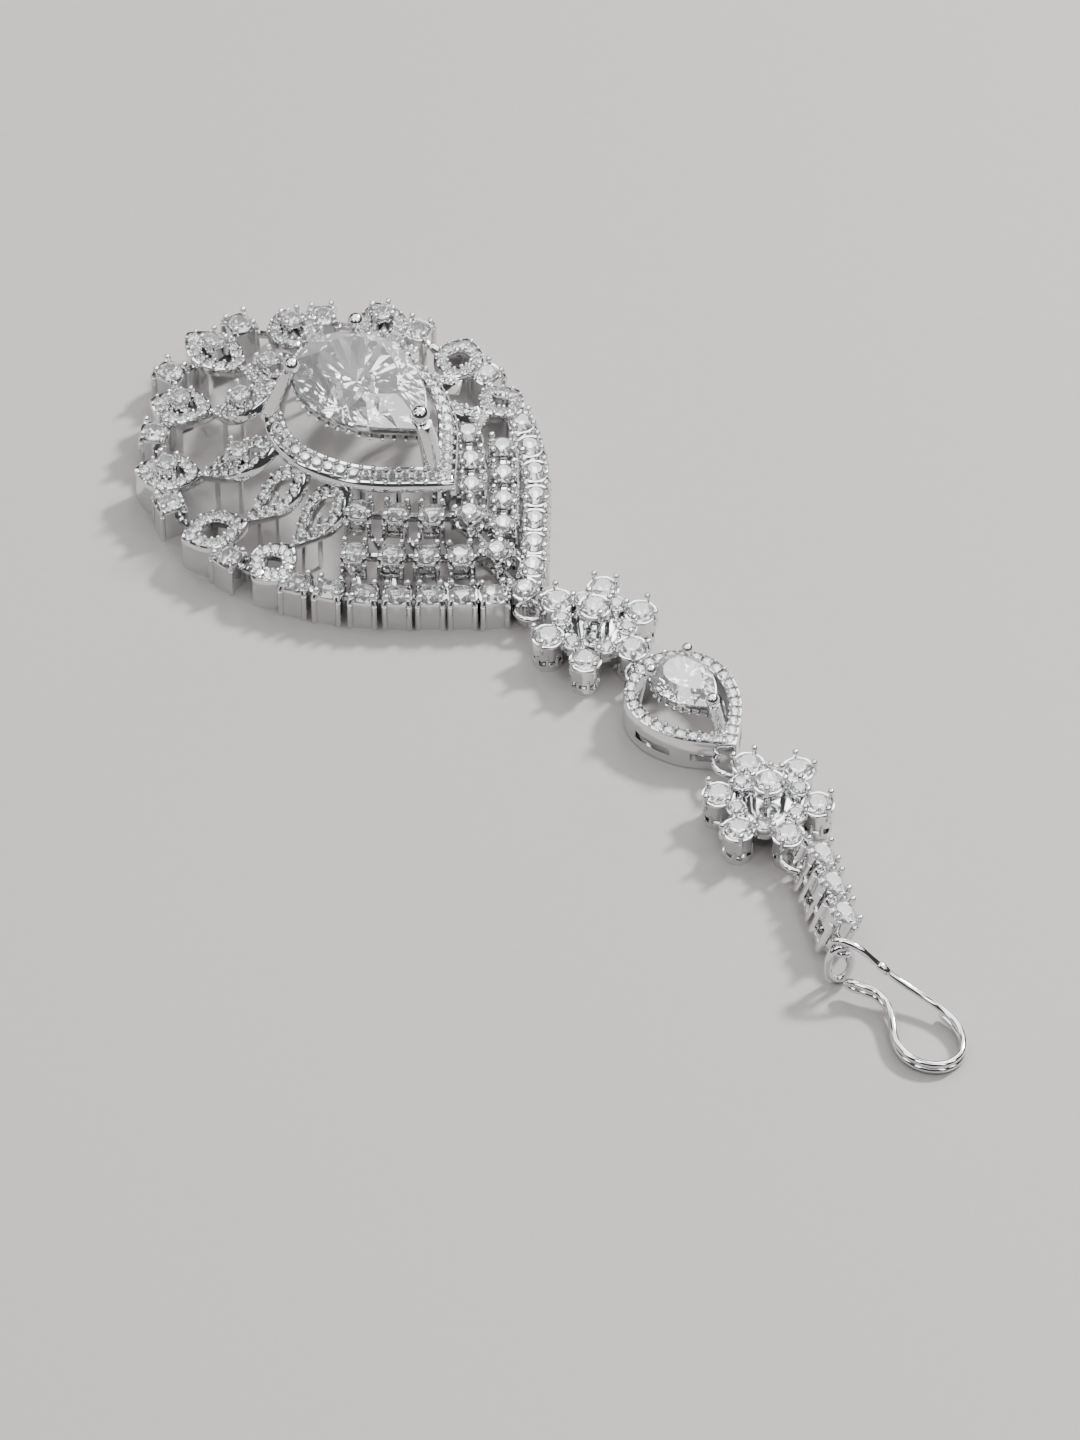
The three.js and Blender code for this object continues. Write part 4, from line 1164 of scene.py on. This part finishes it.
# %% Straight links
tennis_stone = round_brilliant(TENNIS_STONE)
tennis_cup = merge([
    tube_cup(TENNIS_HEIGHT - 1.7, TENNIS_LENGTH * 0.86, TENNIS_WIDTH * 0.84, 0.5, CUP_WALL),
    moved(tube_cup(0.7, TENNIS_LENGTH * 0.8, TENNIS_WIDTH * 0.8, 0.5, CUP_WALL, top=0.0, flare=1.0),
          Matrix.Translation((0, 0, -TENNIS_HEIGHT + 0.7))),
    *square_claws(-TENNIS_HEIGHT, (1.02, 1.05), (1.08, 1.1), 1.03, 0.3, 0.3, 0.14),
])
tennis = []
for k in range(TENNIS_COUNT):
    metal, stones = Body(), Body()
    metal.add(tennis_cup, tennis_place(k))
    stones.add(tennis_stone, tennis_place(k))
    tennis.append((metal, stones))
LAST_LINK = ahead(TENNIS_START, TENNIS_PITCH * (TENNIS_COUNT - 1), 0, TENNIS_START[2])
loop_at = place_on(LAST_LINK, TENNIS_LENGTH / 2 + LOOP_AHEAD, -LOOP_ASIDE, LOOP_RISE)
last_metal = tennis[-1][0]
last_metal.add(oval(loop_at, LOOP_WIDE, LOOP_HIGH, LOOP_WIRE / 2))
tie_start = tennis_place(TENNIS_COUNT - 1) @ Vector((TENNIS_LENGTH / 2 - 0.3, -0.3, -1.9))
tie_end = loop_at @ Vector((0, LOOP_WIDE, -0.6))
last_metal.add(wire([tie_start, (tie_start + tie_end) / 2, tie_end], LOOP_TIE))
print("straight links:", len(tennis))

# %% Rings
# Name, radius and place of each ring's middle.
RINGS = [
    ("jump_ring_1", 1.2, place(1.3, -0.75, 1.9, 20, 12)),
    ("jump_ring_2", 1.2, place(12.75, 1.1, 1.7)),
    ("jump_ring_3", 1.35, place_on(PEAR_LINK, 1.17, -1.02, 1.9, 15)),
    ("jump_ring_4", 1.35, place_on(TENNIS_START, -1.48, -1.73, 1.8, 8)),
    ("tennis_ring_1", 1.15, tennis_place(0) @ Matrix.Translation((TENNIS_PITCH / 2, 0, -2.2))),
    ("tennis_ring_2", 1.15, tennis_place(1) @ Matrix.Translation((TENNIS_PITCH / 2, 0, -2.2))),
]

print("rings:", len(RINGS))

# %% [markdown]
# ## Hook
# The hook is one wire. Its eye goes round the top of the end loop, the strand runs out, swells into a
# teardrop that grips the hair, and comes back to the loop, where it turns under and runs the same way
# back below itself. So the points of the upper strand are chosen once, and the lower one follows them.

# %% Hook
HOOK_WIRE = 0.62
STRAND_STEP = 0.66
HOOK_START = ahead(TENNIS_START, 11.72, 1.28, -14.1)
NECK_RADIUS = 0.4
NECK_SHARES = (0.3, 0.5, 0.68)
# Along and left from the start of the hook, and height over the table.
HOOK_STRAND = [
    (0.3, -0.45, 3.75), (1.73, 0.63, 2.5), (3.79, 1.87, 1.7), (5.83, 2.74, 1.3), (7.52, 3.01, 1.15),
    (9.04, 2.72, 1.05), (10.26, 1.74, 1.0), (10.6, 0.38, 0.98), (10.06, -0.94, 1.0), (8.86, -1.91, 1.05),
    (7.39, -2.23, 1.1), (5.97, -1.91, 1.2), (4.58, -1.28, 1.35), (3.23, -0.85, 1.5), (1.93, -1.02, 1.65),
    (0.96, -1.68, 1.8),
]
# Angle round the top of the loop, and reach from it.
EYE = [(-40, 0.95), (-75, 0.85), (-115, 0.8), (-155, 0.8), (165, 0.8), (125, 0.8), (85, 0.8), (50, 0.95)]


def strand_spot(along, left, z):
    return np.array((*ahead(HOOK_START, along, left, 0)[:2], z))


def hook_path():
    top = np.array(loop_at @ Vector((0, 0, LOOP_HIGH)))
    upper = [strand_spot(*spot) for spot in HOOK_STRAND]
    forward = upper[0] - top
    forward[2] = 0
    forward /= np.linalg.norm(forward)
    turned = [(math.radians(a), reach) for a, reach in EYE]
    eye = [top + forward * r * math.cos(a) + np.array((0, 0, r * math.sin(a))) for a, r in turned]
    arrive = (eye[-1] + upper[0]) / 2 + (0, 0, 0.3)
    last = upper[-1]
    back = lambda x, down: np.array((last[0] - x, last[1] - 0.38 * x, last[2] - down))
    hairpin = [back(1.1, 0), back(1.5, STRAND_STEP / 2), back(1.1, STRAND_STEP)]
    lower = [p - (0, 0, STRAND_STEP) for p in reversed(upper[3:])]
    return spline([*eye, arrive, *upper, *hairpin, *lower], per=5)


hook = Body()
hook.add(wire(hook_path(), HOOK_WIRE / 2, sides=12))
neck_start, neck_end = (strand_spot(*spot) for spot in HOOK_STRAND[:2])
neck = [neck_start + (neck_end - neck_start) * share for share in NECK_SHARES]
hook.add(wire(neck, NECK_RADIUS, sides=12))
print("points along the hook:", len(hook_path()))

# %% [markdown]
# ## Pieces in the scene
# Every CAD solid is stood for by a finer mesh in the same place. Metal and stones of a link are two meshes.

# %% Build the pendant and the flowers
total = pendant.build("pendant_settings", METAL, "bright_metal", ["pendant_frame"])
total += pendant_stones.build("pendant_small_stones", STONE, "clear_stone", [], smooth=False)
total += main_stone.build("main_stone", STONE, "clear_stone", ["main_pear_stone"], smooth=False)
for number, (x, y, turn) in enumerate(FLOWERS, 1):
    metal, stones, nodes = flower(number, x, y, turn)
    total += metal.build(f"flower_{number}_setting", METAL, "bright_metal", [f"flower_link_{number}"])
    total += stones.build(f"flower_{number}_stones", STONE, "clear_stone", nodes, smooth=False)
print("triangles so far:", total)

# %% Build the other links, the rings and the hook
for body in (pear_metal, pear_stones):
    body.shapes = [moved(shape, pear_at) for shape in body.shapes]
total += pear_metal.build("pear_link_setting", METAL, "bright_metal", ["pear_link"])
total += pear_stones.build("pear_link_stones", STONE, "clear_stone", ["pear_link_stone"], smooth=False)
for k, (metal, stones) in enumerate(tennis, 1):
    total += metal.build(f"tennis_{k}_setting", METAL, "bright_metal", [f"tennis_link_{k}"])
    total += stones.build(f"tennis_{k}_stone", STONE, "clear_stone", [f"tennis_stone_{k}"], smooth=False)
for name, radius, at in RINGS:
    ring = Body()
    ring.add(flat_ring(at, radius))
    total += ring.build(name + "_wire", METAL, "bright_metal", [name])
total += hook.build("hook_wire", METAL, "bright_metal", ["hair_hook"])
print("triangles in all:", total)

# %% [markdown]
# ## Floor
# A plain pale floor, a little darker than the metal's highlights, so that bright plating stands out
# from it and mirrors a quiet surface. Its grain is too fine to read as a pattern.

# %% Floor
def floor_material():
    s = Shader("pale_floor")
    where = s.node("ShaderNodeTexCoord", output="Object")
    grain = s.node("ShaderNodeTexNoise", {}, {"Vector": where, "Scale": 900.0, "Detail": 4.0})
    tint = s.node("ShaderNodeMix", {"data_type": "RGBA"}, {
        "Factor": grain, "A": (0.27, 0.256, 0.248, 1.0), "B": (0.295, 0.28, 0.271, 1.0)}, output="Result")
    bump = s.node("ShaderNodeBump", {}, {"Height": grain, "Strength": 0.05, "Distance": 0.0001})
    return s.finish(s.node("ShaderNodeBsdfPrincipled", {}, {
        "Base Color": tint, "Roughness": 0.55 + grain * 0.1, "Normal": bump}))


FLOOR_SIZE = 1.6
corners = [(x * FLOOR_SIZE / 2, y * FLOOR_SIZE / 2, 0.0) for x, y in ((-1, -1), (1, -1), (1, 1), (-1, 1))]
floor_mesh = bpy.data.meshes.new("floor")
floor_mesh.from_pydata(corners, [], [(0, 1, 2, 3)])
floor_mesh.materials.append(floor_material())
floor = bpy.data.objects.new("floor", floor_mesh)
bpy.context.scene.collection.objects.link(floor)
floor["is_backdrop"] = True
print("floor in m:", FLOOR_SIZE)

# %% [markdown]
# ## Camera
# The camera stands at the photo's angle, solved from the pendant's symmetry and the equal steps of its
# stones. It looks down at 48 degrees across the piece, through a long lens from far enough away that
# lines hardly converge.

# %% Camera
AIM = Vector((11.80, -9.77, 3.6))
HEADING = -44.43
ELEVATION = 48.35
DISTANCE = 700.0
LENS = 210.0
away = Vector((
    math.cos(math.radians(HEADING)) * math.cos(math.radians(ELEVATION)),
    math.sin(math.radians(HEADING)) * math.cos(math.radians(ELEVATION)),
    math.sin(math.radians(ELEVATION)),
))
camera_data = bpy.data.cameras.new("camera")
camera_data.lens = LENS
camera_data.sensor_width = 36.0
camera_data.sensor_fit = "AUTO"
camera_data.clip_start = 0.01
camera_data.clip_end = 10.0
camera = bpy.data.objects.new("camera", camera_data)
camera.location = (AIM + away * DISTANCE + SHIFT) * MM
camera.rotation_mode = "QUATERNION"
camera.rotation_quaternion = (-away).to_track_quat("-Z", "Y")
bpy.context.scene.collection.objects.link(camera)
bpy.context.scene.camera = camera
print("camera in m:", [round(v, 3) for v in camera.location])

# %% [markdown]
# ## Light
# A cut stone shows what its facets find, so it needs bright shapes with dark between them. One large
# soft box would be simpler, but under it a stone turns milky, because every facet finds the same white.
# Here a small key throws the shadow to the lower left, and eight narrow strips round the piece give the
# facets their flashes. The glows stand where flat tables mirror them to the camera: one for the level
# stones, one for the rolled links, one for the front of the main stone. The last lights the walls.

# %% Light
STRIPS = (-150, -112, -72, -34, 30, 66, 104, 156)
SKY_TINT = (0.8, 0.82, 0.86, 1.0)
SKY_STRENGTH = 0.07


def soft_box(name, heading, elevation, distance, size, power):
    """Area light that looks at the middle of the piece; heading is measured from the camera's own."""
    h, e = math.radians(HEADING + heading), math.radians(elevation)
    way = Vector((math.cos(h) * math.cos(e), math.sin(h) * math.cos(e), math.sin(e)))
    data = bpy.data.lights.new(name, "AREA")
    data.shape = "RECTANGLE"
    data.size, data.size_y = size
    data.energy = power
    light = bpy.data.objects.new(name, data)
    light.location = (AIM + SHIFT) * MM + way * distance
    light.rotation_mode = "QUATERNION"
    light.rotation_quaternion = (-way).to_track_quat("-Z", "Y")
    bpy.context.scene.collection.objects.link(light)


soft_box("key", 128, 44, 0.8, (0.1, 0.1), 14.0)
for k, heading in enumerate(STRIPS):
    soft_box(f"panel_{k}", heading, 55, 0.6, (0.085, 0.5), 0.85)
soft_box("table_glow", 174.1, 48, 0.7, (0.14, 0.26), 0.8)
soft_box("link_glow", 150, 24, 0.7, (0.2, 0.16), 0.7)
soft_box("front_glow", -4, 66, 0.6, (0.24, 0.1), 0.45)
soft_box("low_left", -95, 16, 0.7, (0.5, 0.12), 0.4)
world = bpy.data.worlds.new("studio")
bpy.context.scene.world = world
world.use_nodes = True
sky = world.node_tree.nodes["Background"].inputs
sky["Color"].default_value = SKY_TINT
sky["Strength"].default_value = SKY_STRENGTH
print("lights:", len(bpy.data.lights))

# %% [markdown]
# ## Bounds of the piece
# The box round every mesh that is shown, the floor left out, is measured. The finer meshes may not
# outgrow the CAD solids by more than a little.

# %% Finish
low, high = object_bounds()
